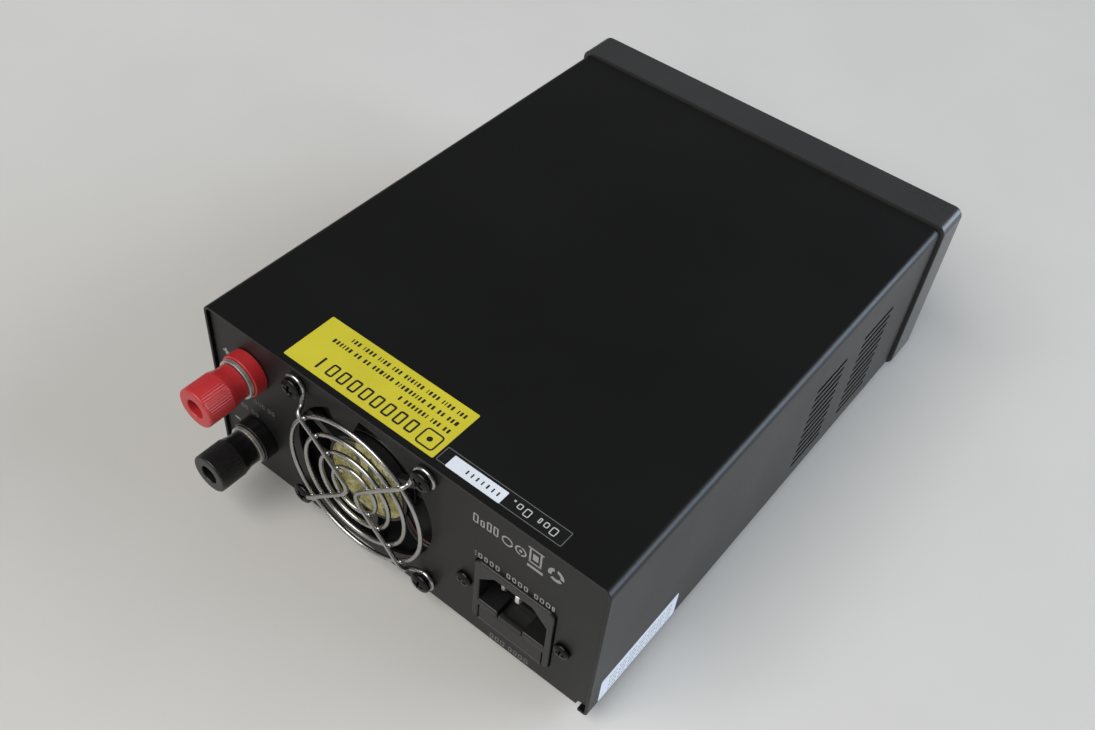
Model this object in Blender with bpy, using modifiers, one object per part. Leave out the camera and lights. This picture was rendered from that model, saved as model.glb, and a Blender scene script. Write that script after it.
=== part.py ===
# Bench power supply, compact desktop size, with rear output posts.
#
# Frame: metres, +Z up, the control panel faces -Y and the connector panel faces +Y.
# The origin is at the centre of the bounding box's bottom face.
#
# Positions below are worked out in millimetres in the case's own frame: x = 0 on the case's
# centre plane, y = 0 at the middle of the cover's length, z = 0 at the cover's lower edge.
# place() turns them into metres in the part's frame.

import math

import bmesh
import bpy
from mathutils import Matrix, Vector

for old in list(bpy.data.objects):
    bpy.data.objects.remove(old, do_unlink=True)

MM = 0.001
GAP = 0.3                       # clearance between neighbouring solids

# ---------------------------------------------------------------- driving dimensions (mm)
CASE_W = 150.5                  # cover, outside width
CASE_H = 64.6                   # cover, outside height
COVER_L = 188.2                 # cover, length along Y
SHEET = 1.0                     # cover sheet
BEND_R = 2.6                    # cover's outside bend radius
FLANGE = 3.4                    # cover's turned-in lower flange
TAB = 8.4                       # flange width at its screw tabs
TAB_Y = 62.0                    # tabs at +/- this

PANEL_T = 1.2                   # chassis sheet
PANEL_Y = 93.0                  # outside face of the rear panel
PANEL_Z0 = 0.5                  # rear panel's lower edge
NOTCH_X = 70.6                  # the rear panel's lower corners are notched beyond this
NOTCH_Z = 2.8

BEZEL_X = 76.7                  # bezel half width
BEZEL_Z0, BEZEL_Z1 = -1.3, 65.9
BEZEL_Y0 = -109.2               # bezel front
BEZEL_R = 3.4

FOOT_H = 5.0
FOOT_R = 7.0
FOOT_X, FOOT_Y = 60.0, 80.0

FAN_X, FAN_Z = 12.2, 32.3       # fan centre on the rear panel
FAN_SIDE, FAN_DEPTH, FAN_PITCH = 60.0, 20.0, 50.0
FAN_BORE = 28.6
FAN_HOLE = 27.0                 # opening in the rear panel
HUB_R = 15.6
GUARD_WIRE = 0.85               # wire radius
GUARD_RINGS = (26.1, 19.85, 13.7, 8.5)
GUARD_Y = PANEL_Y + 3.8         # plane of the rings

INLET_X, INLET_Z = -45.6, 22.8  # mains inlet centre
INLET_W, INLET_H = 28.3, 29.0
INLET_PITCH = 35.7
INLET_PROUD = 1.0
INLET_BACK = 66.0               # y of the inlet's rear end
RECESS_W, RECESS_Z0, RECESS_Z1, RECESS_DEPTH = 24.0, -4.3, 10.8, 16.0
DRAWER_W, DRAWER_Z0, DRAWER_Z1 = 23.2, -13.7, -7.4
DRAWER_TRAVEL = 18.0

POST_X = 58.0
POST_Z = {"positive": 48.0, "negative": 17.0}
POST_COLLAR_R, POST_COLLAR_L = 7.45, 4.6
POST_WASHER_R, POST_WASHER_T = 6.8, 1.3
POST_CAP_R, POST_CAP_REAR_R = 6.75, 5.95
POST_CAP_Y0, POST_CAP_Y1 = 6.9, 21.4    # from the panel's face
POST_BORE = 3.2
POST_STUD_R = 2.9

FASCIA_Y0, FASCIA_T = -106.9, 2.5
KNOB_R, KNOB_FRONT = 11.0, -121.2
KNOB_X = {"voltage": 25.0, "current": 56.0}
KNOB_Z = 33.0
SWITCH_X, SWITCH_Z = -58.0, 17.6
ROCKER_TILT = 10.0              # degrees each side of level

Y_FRONT = KNOB_FRONT
Y_REAR = PANEL_Y + POST_CAP_Y1
SHIFT_Y = -(Y_FRONT + Y_REAR) / 2
SHIFT_Z = FOOT_H


def place(x, y, z):
    """Case frame in millimetres to part frame in metres."""
    return Vector((x, y + SHIFT_Y, z + SHIFT_Z)) * MM


# ---------------------------------------------------------------- collections and materials
def new_collection(name):
    made = bpy.data.collections.new(name)
    bpy.context.scene.collection.children.link(made)
    return made


PARTS = new_collection("bench_power_supply")
CUTTERS = new_collection("bench_power_supply_cutters")
ORIGIN = bpy.data.objects.new("bench_power_supply_origin", None)
PARTS.objects.link(ORIGIN)


def material(name, color, roughness, metallic=0.0, alpha=1.0):
    made = bpy.data.materials.new(name)
    made.use_nodes = True
    shader = next(n for n in made.node_tree.nodes if n.type == "BSDF_PRINCIPLED")
    shader.inputs["Base Color"].default_value = (*color, 1.0)
    shader.inputs["Roughness"].default_value = roughness
    shader.inputs["Metallic"].default_value = metallic
    shader.inputs["Alpha"].default_value = alpha
    return made


def paint(name, look):
    return material(name, *LOOKS[look])


LOOKS = {
    "powder_coat": ((0.012, 0.012, 0.011), 0.42),
    "panel_coat": ((0.035, 0.035, 0.036), 0.55),
    "bezel_plastic": ((0.035, 0.035, 0.036), 0.5),
    "fascia_plastic": ((0.02, 0.02, 0.021), 0.45),
    "rubber": ((0.012, 0.012, 0.012), 0.8),
    "black_steel": ((0.02, 0.02, 0.02), 0.35, 0.6),
    "bright_steel": ((0.72, 0.72, 0.7), 0.25, 1.0),
    "black_plastic": ((0.015, 0.015, 0.016), 0.4),
    "red_plastic": ((0.45, 0.012, 0.012), 0.35),
    "plated_brass": ((0.72, 0.66, 0.5), 0.25, 1.0),
    "nickel": ((0.7, 0.69, 0.66), 0.3, 1.0),
    "board": ((0.02, 0.12, 0.05), 0.5),
    "aluminium": ((0.75, 0.76, 0.77), 0.35, 1.0),
    "ferrite": ((0.03, 0.03, 0.032), 0.6),
    "copper": ((0.7, 0.32, 0.18), 0.35, 1.0),
    "sleeve": ((0.015, 0.02, 0.05), 0.35),
    "glass": ((0.75, 0.78, 0.78), 0.05, 0.0, 0.4),
    "smoked": ((0.05, 0.008, 0.008), 0.08, 0.0, 0.6),
    "led_green": ((0.05, 0.5, 0.1), 0.2),
}


# ---------------------------------------------------------------- building helpers
def add(name, mesh, at=(0, 0, 0), look=None, turn=(0, 0, 0), cutter=False):
    """An object for mesh at a case-frame place, turned by degrees about X, Y and Z."""
    made = bpy.data.objects.new(name, mesh)
    made.location = place(*at)
    made.rotation_euler = [math.radians(a) for a in turn]
    if cutter:
        CUTTERS.objects.link(made)
        made.hide_render = True
        made.display_type = "WIRE"
    else:
        PARTS.objects.link(made)
        made.parent = ORIGIN
        mesh.materials.append(paint(name + "_finish", look))
    return made


def boolean(target, other, operation):
    step = target.modifiers.new(f"{operation.lower()}_{other.name}", "BOOLEAN")
    step.operation = operation
    step.solver = "EXACT"
    step.object = other
    return step


def cut(target, *others):
    for other in others:
        boolean(target, other, "DIFFERENCE")


def join(target, *others):
    for other in others:
        boolean(target, other, "UNION")


def finish(bm, name):
    bmesh.ops.recalc_face_normals(bm, faces=bm.faces)
    mesh = bpy.data.meshes.new(name)
    bm.to_mesh(mesh)
    bm.free()
    return mesh


def box_mesh(name, size, offset=(0, 0, 0), edges=None, width=0.0, segments=2):
    """A box of size mm about offset. edges(edge) picks the edges to round by width mm."""
    bm = bmesh.new()
    bmesh.ops.create_cube(bm, size=1.0)
    for v in bm.verts:
        v.co = Vector([(c * s + o) * MM for c, s, o in zip(v.co, size, offset)])
    if width:
        chosen = [e for e in bm.edges if edges is None or edges(e)]
        bmesh.ops.bevel(bm, geom=chosen, offset=width * MM, segments=segments, profile=0.5, affect="EDGES")
    return finish(bm, name)


def span_box(name, low, high, look=None, cutter=False, **bevel):
    """A box between two case-frame corners, with its origin at its centre."""
    centre = [(a + b) / 2 for a, b in zip(low, high)]
    size = [b - a for a, b in zip(low, high)]
    return add(name, box_mesh(name, size, **bevel), centre, look, cutter=cutter)


def along(axis):
    """Picks the edges that run along an axis: 0, 1 or 2."""
    def pick(edge):
        d = edge.verts[1].co - edge.verts[0].co
        return abs(d[axis]) > 0.99 * d.length
    return pick


def turned_mesh_object(name, profile, at, look=None, turn=(-90, 0, 0), steps=32, cutter=False, closed=False):
    """A turned piece. profile holds (radius, height) in mm, down the outer side from the top;
    with closed it returns up the bore. The default turn sends its height along +Y."""
    mesh = bpy.data.meshes.new(name)
    points = [(r * MM, 0.0, h * MM) for r, h in profile]
    edges = [(i, i + 1) for i in range(len(points) - 1)]
    if closed:
        edges.append((len(points) - 1, 0))
    mesh.from_pydata(points, edges, [])
    made = add(name, mesh, at, look, turn, cutter)
    spin = made.modifiers.new("turn", "SCREW")
    spin.axis = "Z"
    spin.angle = math.tau
    spin.steps = spin.render_steps = steps
    spin.use_merge_vertices = True
    spin.merge_threshold = 0.00001
    spin.use_smooth_shade = False
    return made


def cylinder(name, radius, low, high, at, look=None, turn=(-90, 0, 0), steps=32, cutter=False):
    """A plain cylinder from height low to high along its own axis."""
    bm = bmesh.new()
    bmesh.ops.create_cone(bm, cap_ends=True, cap_tris=False, segments=steps,
                          radius1=radius * MM, radius2=radius * MM, depth=(high - low) * MM)
    for v in bm.verts:
        v.co.z += (high + low) / 2 * MM
    return add(name, finish(bm, name), at, look, turn, cutter)


def circle(cx, cy, radius, steps=32, start=0.07):
    return [(cx + radius * math.cos(start + math.tau * i / steps), cy + radius * math.sin(start + math.tau * i / steps))
            for i in range(steps)]


def rounded(points, radius, steps=3):
    """A closed outline with its corners rounded. radius is one number or one for each corner."""
    out = []
    n = len(points)
    for i, p in enumerate(points):
        r = radius[i] if isinstance(radius, (list, tuple)) else radius
        here = Vector(p)
        if r <= 0:
            out.append(tuple(here))
            continue
        before = (Vector(points[i - 1]) - here).normalized()
        after = (Vector(points[(i + 1) % n]) - here).normalized()
        half = before.angle(after) / 2
        back = r / math.tan(half)
        centre = here + (before + after).normalized() * (r / math.sin(half))
        a = here + before * back - centre
        b = here + after * back - centre
        sweep = a.angle_signed(b)
        for k in range(steps + 1):
            angle = -sweep * k / steps
            out.append((centre.x + a.x * math.cos(angle) - a.y * math.sin(angle),
                        centre.y + a.x * math.sin(angle) + a.y * math.cos(angle)))
    return out


def rectangle(x0, y0, x1, y1):
    return [(x0, y0), (x1, y0), (x1, y1), (x0, y1)]


def plate_mesh(name, loops, thickness):
    """A flat outline with holes, as a filled 2D curve with an extrude, turned into a welded mesh."""
    outline = bpy.data.curves.new(name + "_outline", "CURVE")
    outline.dimensions = "2D"
    outline.fill_mode = "BOTH"
    outline.extrude = thickness / 2
    for loop in loops:
        spline = outline.splines.new("POLY")
        spline.points.add(len(loop) - 1)
        for point, (x, y) in zip(spline.points, loop):
            point.co = (x, y, 0, 1)
        spline.use_cyclic_u = True
    flat = bpy.data.objects.new(name + "_outline", outline)
    bpy.context.scene.collection.objects.link(flat)
    bpy.context.view_layer.update()
    mesh = bpy.data.meshes.new_from_object(flat.evaluated_get(bpy.context.evaluated_depsgraph_get()))
    bpy.data.objects.remove(flat, do_unlink=True)
    mesh.transform(Matrix.Scale(MM, 4))
    bm = bmesh.new()
    bm.from_mesh(mesh)
    bmesh.ops.remove_doubles(bm, verts=bm.verts, dist=0.000002)
    out = finish(bm, name)
    bpy.data.meshes.remove(mesh)
    return out


def plate_facing_y(name, loops, y_low, y_high, look=None, cutter=False, at=(0, 0)):
    """A plate whose outline lies in X and Z, between two y values."""
    return add(name, plate_mesh(name, loops, y_high - y_low), (at[0], (y_low + y_high) / 2, at[1]), look,
               (90, 0, 0), cutter)


def bar_along_y(name, loops, y_low, y_high, look=None, cutter=False):
    return plate_facing_y(name, loops, y_low, y_high, look, cutter)


def smooth_path(points, per_span=3):
    """A Catmull-Rom curve through the points."""
    pts = [Vector(p) for p in points]
    pts = [pts[0] * 2 - pts[1]] + pts + [pts[-1] * 2 - pts[-2]]
    out = []
    for i in range(1, len(pts) - 2):
        a, b, c, d = pts[i - 1:i + 3]
        for k in range(per_span):
            t = k / per_span
            out.append(0.5 * (2 * b + (c - a) * t + (2 * a - 5 * b + 4 * c - d) * t * t + (3 * b - a - 3 * c + d) * t ** 3))
    out.append(pts[-2])
    return out


def wire(name, points, radius, cyclic=False, look=None, cutter=False, resolution=1):
    """A wire through case-frame points in mm: a POLY curve with a bevel, turned into a welded mesh."""
    line = bpy.data.curves.new(name + "_path", "CURVE")
    line.dimensions = "3D"
    line.bevel_depth = radius
    line.bevel_resolution = resolution
    line.use_fill_caps = not cyclic
    spline = line.splines.new("POLY")
    spline.points.add(len(points) - 1)
    for point, p in zip(spline.points, points):
        point.co = (p[0], p[1], p[2], 1)
    spline.use_cyclic_u = cyclic
    route = bpy.data.objects.new(name + "_path", line)
    bpy.context.scene.collection.objects.link(route)
    bpy.context.view_layer.update()
    mesh = bpy.data.meshes.new_from_object(route.evaluated_get(bpy.context.evaluated_depsgraph_get()))
    bpy.data.objects.remove(route, do_unlink=True)
    mesh.transform(Matrix.Scale(MM, 4))
    bm = bmesh.new()
    bm.from_mesh(mesh)
    bmesh.ops.remove_doubles(bm, verts=bm.verts, dist=0.000002)
    out = finish(bm, name)
    bpy.data.meshes.remove(mesh)
    return add(name, out, (0, 0, 0), look, cutter=cutter)


# ---------------------------------------------------------------- case: chassis tray
# The tray is one folded sheet: floor, joggled side strips, rear panel and a low front lip.
half_in = CASE_W / 2 - SHEET - 0.3          # half width inside the cover
floor0, floor1 = PANEL_Z0 + 0.1, PANEL_Z0 + 0.1 + PANEL_T
strip0 = SHEET + GAP                        # side strips lie on the cover's flanges
strip1 = strip0 + PANEL_T
floor_y0, floor_y1 = -92.6, PANEL_Y
bottom_chassis = span_box("bottom_chassis", (-65.6, floor_y0, floor0), (65.6, PANEL_Y - PANEL_T / 2, floor1), "panel_coat")
for side in (-1, 1):
    xs = sorted((side * 64.6, side * half_in))
    join(bottom_chassis, span_box(f"chassis_strip_{side}", (xs[0], floor_y0 + 1.0, strip0), (xs[1], 90.0, strip1), cutter=True))

top_in = CASE_H - SHEET - 0.3
rear_outline = [
    (-NOTCH_X, PANEL_Z0), (NOTCH_X, PANEL_Z0), (NOTCH_X, NOTCH_Z), (half_in, NOTCH_Z + 0.5),
    (half_in, top_in - 1.6), (half_in - 1.6, top_in), (-half_in + 1.6, top_in), (-half_in, top_in - 1.6),
    (-half_in, NOTCH_Z + 0.5), (-NOTCH_X, NOTCH_Z),
]
inlet_half_w, inlet_half_h = INLET_W / 2 + 0.35, INLET_H / 2 + 0.35
# The fan's opening is round but for one small tab left in the sheet at its top.
fan_opening = [(FAN_X + FAN_HOLE * math.cos(math.radians(a)), FAN_Z + FAN_HOLE * math.sin(math.radians(a)))
               for a in [88.5 + (421.5 - 88.5) * i / 38 for i in range(39)]]
fan_opening += [(23.4, 52.7), (15.4, 52.9)]
rear_holes = [fan_opening]
for sx in (-1, 1):
    for sz in (-1, 1):
        rear_holes.append(circle(FAN_X + sx * FAN_PITCH / 2, FAN_Z + sz * FAN_PITCH / 2, 2.3, 8))
    rear_holes.append(circle(INLET_X + sx * INLET_PITCH / 2, INLET_Z, 1.8, 8))
rear_holes.append(rounded(rectangle(INLET_X - inlet_half_w, INLET_Z - inlet_half_h,
                                    INLET_X + inlet_half_w, INLET_Z + inlet_half_h), 2.6, 3))
for z in POST_Z.values():
    rear_holes.append(circle(POST_X, z, 4.9, 16))
# Points are given as (x, z); the outline's third direction runs along -Y.
rear_panel = plate_facing_y("chassis_rear_panel", [rear_outline] + rear_holes, PANEL_Y - PANEL_T, PANEL_Y, cutter=True)
front_lip = span_box("chassis_front_lip", (-64.0, floor_y0 + 0.1, floor0 + 0.1), (64.0, floor_y0 + 0.1 + PANEL_T, 16.0), cutter=True)
join(bottom_chassis, rear_panel, front_lip)
BOSS = [(-60.0, -76.0), (60.0, -76.0), (-60.0, 50.0), (40.0, 50.0)]
BOARD_Z0, BOARD_T = 8.2, 1.6
for i, (x, y) in enumerate(BOSS):
    join(bottom_chassis, cylinder(f"chassis_boss_{i}", 3.0, floor0 + 0.5, BOARD_Z0 - GAP, (x, y, 0), turn=(0, 0, 0),
                                  steps=8, cutter=True))
for sx in (-1, 1):
    for sy in (-1, 1):
        cut(bottom_chassis, cylinder(f"chassis_screw_hole_{sx}_{sy}", 1.85, -2, 6, (sx * 70.2, sy * TAB_Y, 0),
                                     turn=(0, 0, 0), steps=8, cutter=True))

# ---------------------------------------------------------------- case: cover
# One sheet folded over the top and both sides, with a narrow flange turned in along each lower edge.
outer = rounded([(-CASE_W / 2, 0), (-CASE_W / 2, CASE_H), (CASE_W / 2, CASE_H), (CASE_W / 2, 0)],
                [1.4, BEND_R, BEND_R, 1.4], 3)
side_in = CASE_W / 2 - SHEET
lower = CASE_W / 2 - TAB
inner = [(lower, 0), (lower, SHEET)] + rounded(
    [(side_in, SHEET), (side_in, CASE_H - SHEET), (-side_in, CASE_H - SHEET), (-side_in, SHEET)],
    [0.4, BEND_R - SHEET, BEND_R - SHEET, 0.4], 2) + [(-lower, SHEET), (-lower, 0)]
top_cover = bar_along_y("top_cover", [outer + inner], -COVER_L / 2, COVER_L / 2, "powder_coat")
flange_x = CASE_W / 2 - FLANGE
for side in (-1, 1):
    runs = ((-COVER_L / 2 - 1, -TAB_Y - 7), (-TAB_Y + 7, TAB_Y - 7), (TAB_Y + 7, COVER_L / 2 + 1))
    for k, (a, b) in enumerate(runs):
        xs = sorted((side * (lower - 1), side * flange_x))
        cut(top_cover, span_box(f"flange_relief_{side}_{k}", (xs[0], a, -1), (xs[1], b, SHEET + 0.6), cutter=True))
    for sy in (-1, 1):
        cut(top_cover, cylinder(f"cover_screw_hole_{side}_{sy}", 1.85, -1, 2, (side * 70.2, sy * TAB_Y, 0),
                                turn=(0, 0, 0), steps=8, cutter=True))

# Vent slots, two groups on each side, near the front.
VENT_PITCH, VENT_H = 3.7, 1.7
VENT_Z0, VENT_ROWS = 9.0, 11
VENT_SPANS = ((-70.2, -49.5), (-37.7, -18.0))
bm = bmesh.new()
for y0, y1 in VENT_SPANS:
    for row in range(VENT_ROWS):
        slot = bmesh.ops.create_cube(bm, size=1.0)["verts"]
        zc = VENT_Z0 + VENT_PITCH * row
        for v in slot:
            v.co = Vector((v.co.x * (CASE_W + 4), v.co.y * (y1 - y0) + (y0 + y1) / 2, v.co.z * VENT_H + zc)) * MM
cut(top_cover, add("vent_slots", finish(bm, "vent_slots"), (0, 0, 0), cutter=True))

# ---------------------------------------------------------------- case: front bezel and fascia
bezel_outline = rounded(rectangle(-BEZEL_X, BEZEL_Z0, BEZEL_X, BEZEL_Z1), BEZEL_R, 3)
front_bezel = bar_along_y("front_bezel", [bezel_outline], BEZEL_Y0, -COVER_L / 2 - GAP, "bezel_plastic")
# The front rim is rounded over.
rim = front_bezel.modifiers.new("rim", "BEVEL")
rim.width = 1.2 * MM
rim.segments = 2
rim.limit_method = "WEIGHT"
edge_weight = front_bezel.data.attributes.new("bevel_weight_edge", "FLOAT", "EDGE")
for edge in front_bezel.data.edges:
    a, b = (front_bezel.data.vertices[i].co for i in edge.vertices)
    # local +Z is -Y in the case frame, so the front outline has the largest local z
    if min(a.z, b.z) > (-COVER_L / 2 - GAP - BEZEL_Y0) / 2 * MM - 1e-6:
        edge_weight.data[edge.index].value = 1.0
WALL_X, WALL_Z0, WALL_Z1 = 73.5, 1.9, 62.7
cut(front_bezel,
    span_box("bezel_window", (-70.7, -115, 4.7), (70.7, -90, 59.9), cutter=True),
    span_box("bezel_groove", (-WALL_X, FASCIA_Y0 - 0.3, WALL_Z0), (WALL_X, FASCIA_Y0 + FASCIA_T + 0.3, WALL_Z1), cutter=True),
    span_box("bezel_back", (-WALL_X, -102.0, WALL_Z0), (WALL_X, -90, WALL_Z1), cutter=True))
SKIRT_X, SKIRT_Z0, SKIRT_Z1 = half_in - 0.05, strip1 + 0.4, top_in - 0.05
skirt_out = rounded(rectangle(-SKIRT_X, SKIRT_Z0, SKIRT_X, SKIRT_Z1), 1.6, 2)
skirt_in = rectangle(-SKIRT_X + 2.0, SKIRT_Z0 + 2.0, SKIRT_X - 2.0, SKIRT_Z1 - 2.0)
join(front_bezel, bar_along_y("bezel_skirt", [skirt_out, skirt_in], -97.0, -88.5, cutter=True))
# The skirt's lower run is left out where the tray's front lip stands.
cut(front_bezel, span_box("bezel_lip_room", (-66.0, -94.1, 0.0), (66.0, -88.0, 17.0), cutter=True))

DISPLAY = (-66.0, 30.5, 0.0, 56.0)          # window x0, z0, x1, z1
fascia_holes = [
    rounded(rectangle(DISPLAY[0] + 1.5, DISPLAY[1] + 1.5, DISPLAY[2] - 1.5, DISPLAY[3] - 1.5), 1.0, 2),
    rectangle(SWITCH_X - 6.9, SWITCH_Z - 10.1, SWITCH_X + 6.9, SWITCH_Z + 10.1),
    circle(-38.0, SWITCH_Z, 1.8, 12),
] + [circle(x, KNOB_Z, 3.9, 16) for x in KNOB_X.values()]
front_fascia = plate_facing_y("front_fascia", [rounded(rectangle(-73.2, 2.2, 73.2, 62.4), 1.0, 2)] + fascia_holes,
                              FASCIA_Y0, FASCIA_Y0 + FASCIA_T, "fascia_plastic")
# A seat for the display window, so that its face is flush with the fascia.
cut(front_fascia, span_box("window_seat", (DISPLAY[0], FASCIA_Y0 - 1, DISPLAY[1]), (DISPLAY[2], FASCIA_Y0 + 1.3, DISPLAY[3]),
                           cutter=True))

# ---------------------------------------------------------------- feet and cover screws
FOOT_NAMES = {(-1, -1): "rubber_foot_front_left", (1, -1): "rubber_foot_front_right",
              (-1, 1): "rubber_foot_rear_left", (1, 1): "rubber_foot_rear_right"}
for (sx, sy), name in FOOT_NAMES.items():
    top = floor0 - 0.2
    turned_mesh_object(name, [(0, top), (FOOT_R, top), (FOOT_R, top - 1.2), (FOOT_R - 1.2, -FOOT_H), (0, -FOOT_H)],
                       (sx * (FOOT_X - 4), sy * FOOT_Y, 0), "rubber", turn=(0, 0, 0), steps=16)


def pan_screw(name, at, turn, head_r, head_h, shank_r, shank_l, slot=True, steps=12):
    """A pan-head screw. Its head stands out along local +Z from z = 0 and its shank goes the other way."""
    made = turned_mesh_object(name, [(0, head_h), (head_r * 0.7, head_h), (head_r, head_h * 0.45),
                                     (head_r, 0), (shank_r, 0), (shank_r, -shank_l), (0, -shank_l)],
                              at, "black_steel", turn, steps)
    if slot:
        a = box_mesh(name + "_cross_a", (head_r * 1.15, head_r * 0.26, head_h * 0.9), (0, 0, head_h))
        b = box_mesh(name + "_cross_b", (head_r * 0.26, head_r * 1.15, head_h * 0.9), (0, 0, head_h))
        cut(made, add(name + "_cross_a", a, at, turn=turn, cutter=True), add(name + "_cross_b", b, at, turn=turn, cutter=True))
    return made


k = 0
for sx in (-1, 1):
    for sy in (-1, 1):
        k += 1
        pan_screw(f"cover_screw_{k}", (sx * 70.2, sy * TAB_Y, -0.2), (180, 0, 0), 2.9, 1.6, 1.5, 6.0, slot=False)

# ---------------------------------------------------------------- fan
FAN_FACE = PANEL_Y - PANEL_T - GAP          # outer face of the fan frame
FAN_BACK = FAN_FACE - FAN_DEPTH
half = FAN_SIDE / 2
fan_loops = [rounded(rectangle(FAN_X - half, FAN_Z - half, FAN_X + half, FAN_Z + half), 3.5, 3),
             circle(FAN_X, FAN_Z, FAN_BORE, 32)]
for sx in (-1, 1):
    for sz in (-1, 1):
        fan_loops.append(circle(FAN_X + sx * FAN_PITCH / 2, FAN_Z + sz * FAN_PITCH / 2, 2.15, 8))
fan_frame = plate_facing_y("fan_frame", fan_loops, FAN_BACK, FAN_FACE, "black_plastic")
# The motor's seat and three struts stand at the outlet side.
SEAT_Y0 = FAN_FACE - 3.4
join(fan_frame, turned_mesh_object("fan_motor_seat", [(0, FAN_FACE - 0.1), (HUB_R, FAN_FACE - 0.1), (HUB_R, SEAT_Y0), (2.0, SEAT_Y0),
                                                      (2.0, FAN_FACE - 1.2), (0, FAN_FACE - 1.2)],
                                   (FAN_X, 0, FAN_Z), steps=28, cutter=True))
for i, angle in enumerate((25.0, 145.0, 265.0)):
    a = math.radians(angle)
    mid = (HUB_R - 1.0 + FAN_BORE + 1.0) / 2
    strut = box_mesh(f"fan_strut_{i}", (FAN_BORE + 1.0 - HUB_R + 1.0, 2.6, 2.8), (0, 0, 0))
    join(fan_frame, add(f"fan_strut_{i}", strut, (FAN_X + mid * math.cos(a), FAN_FACE - 1.8, FAN_Z + mid * math.sin(a)),
                        turn=(0, -angle, 0), cutter=True))

# The rotor: a cup with seven pitched blades and a short shaft in the seat's bearing.
ROTOR_Y1 = SEAT_Y0 - 0.8
ROTOR_Y0 = FAN_BACK + 1.5
fan_rotor = turned_mesh_object("fan_rotor", [(0, 2.4), (1.5, 2.4), (1.5, 0.0), (HUB_R - 0.4, 0.0),
                                             (HUB_R - 0.4, ROTOR_Y0 - ROTOR_Y1 + 1.0), (HUB_R - 1.4, ROTOR_Y0 - ROTOR_Y1),
                                             (0, ROTOR_Y0 - ROTOR_Y1)],
                               (FAN_X, ROTOR_Y1, FAN_Z), "black_plastic", steps=28)
BLADES, TIP_R = 7, FAN_BORE - 0.8
blade_depth = ROTOR_Y1 - ROTOR_Y0 - 2.0
for i in range(BLADES):
    bm = bmesh.new()
    rows = []
    for ri in range(3):
        r = HUB_R - 1.2 + (TIP_R - HUB_R + 1.2) * ri / 2
        row = []
        for ci in range(4):
            t = ci / 3 - 0.5
            swing = math.radians(44.0) * t * (1.0 + 0.15 * ri / 2)
            swing += math.radians(5.0) * (t * t - 0.25)
            row.append(bm.verts.new(Vector((r * math.cos(swing), r * math.sin(swing), t * blade_depth)) * MM))
        rows.append(row)
    for a, b in zip(rows, rows[1:]):
        for c in range(3):
            bm.faces.new((a[c], a[c + 1], b[c + 1], b[c]))
    blade = add(f"fan_blade_{i}", finish(bm, f"fan_blade_{i}"), (FAN_X, (ROTOR_Y0 + ROTOR_Y1) / 2, FAN_Z), turn=(-90, 0, 0), cutter=True)
    spin = Matrix.Rotation(math.tau * i / BLADES, 4, "Z")
    blade.data.transform(spin)
    skin = blade.modifiers.new("thickness", "SOLIDIFY")
    skin.thickness = 1.1 * MM
    skin.offset = 0.0
    join(fan_rotor, blade)

# The guard: four rings under two bent wires that hook round the four screws.
EYE_Y = PANEL_Y + 0.2 + GUARD_WIRE
EYE_R = 3.4
SPOKE_Y = GUARD_Y + 1.4


def guard_spoke(side, hooks):
    """The bent wire on one side of the fan: hook, rise, run to the rounded apex, and the same back out.
    hooks gives start and end angles in degrees about the upper and the lower screw."""
    pts = []

    def hook(corner, start, end, n=7):
        cx, cz = corner
        return [(cx + EYE_R * math.cos(math.radians(start + (end - start) * i / n)), EYE_Y,
                 cz + EYE_R * math.sin(math.radians(start + (end - start) * i / n))) for i in range(n + 1)]

    up = (FAN_X + side * FAN_PITCH / 2, FAN_Z + FAN_PITCH / 2)
    down = (FAN_X + side * FAN_PITCH / 2, FAN_Z - FAN_PITCH / 2)
    d = 1 / math.sqrt(2)

    def diagonal(r, sz, y):
        return (FAN_X + side * r * d, y, FAN_Z + sz * r * d)

    pts += list(reversed(hook(up, *hooks[0])))
    pts += [diagonal(29.6, 1, SPOKE_Y - 2.4), diagonal(27.6, 1, SPOKE_Y), diagonal(20.0, 1, SPOKE_Y), diagonal(8.0, 1, SPOKE_Y)]
    pts += [(FAN_X + side * 2.9, SPOKE_Y, FAN_Z + 2.6), (FAN_X + side * 2.0, SPOKE_Y, FAN_Z), (FAN_X + side * 2.9, SPOKE_Y, FAN_Z - 2.6)]
    pts += [diagonal(8.0, -1, SPOKE_Y), diagonal(20.0, -1, SPOKE_Y), diagonal(27.6, -1, SPOKE_Y), diagonal(29.6, -1, SPOKE_Y - 2.4)]
    pts += hook(down, *hooks[1])
    return smooth_path(pts, 1)


def ring_points(radius, steps):
    return [(FAN_X + radius * math.cos(math.tau * i / steps), GUARD_Y, FAN_Z + radius * math.sin(math.tau * i / steps))
            for i in range(steps)]


fan_guard = wire("fan_guard", ring_points(GUARD_RINGS[0], 32), GUARD_WIRE, True, "bright_steel")
for i, radius in enumerate(GUARD_RINGS[1:]):
    join(fan_guard, wire(f"guard_ring_{i}", ring_points(radius, (28, 22, 16)[i]), GUARD_WIRE, True, cutter=True))
join(fan_guard,
     wire("guard_spoke_left", guard_spoke(1, ((-165, -320), (165, 345))), GUARD_WIRE, False, cutter=True),
     wire("guard_spoke_right", guard_spoke(-1, ((-10, 200), (75, 240))), GUARD_WIRE, False, cutter=True))

HEAD_Y = EYE_Y + GUARD_WIRE + 0.2
k = 0
for sx in (1, -1):
    for sz in (1, -1):
        k += 1
        pan_screw(f"fan_screw_{k}", (FAN_X + sx * FAN_PITCH / 2, HEAD_Y, FAN_Z + sz * FAN_PITCH / 2), (-90, 0, 0),
                  3.6, 1.9, 1.8, 14.0, steps=14)

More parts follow.
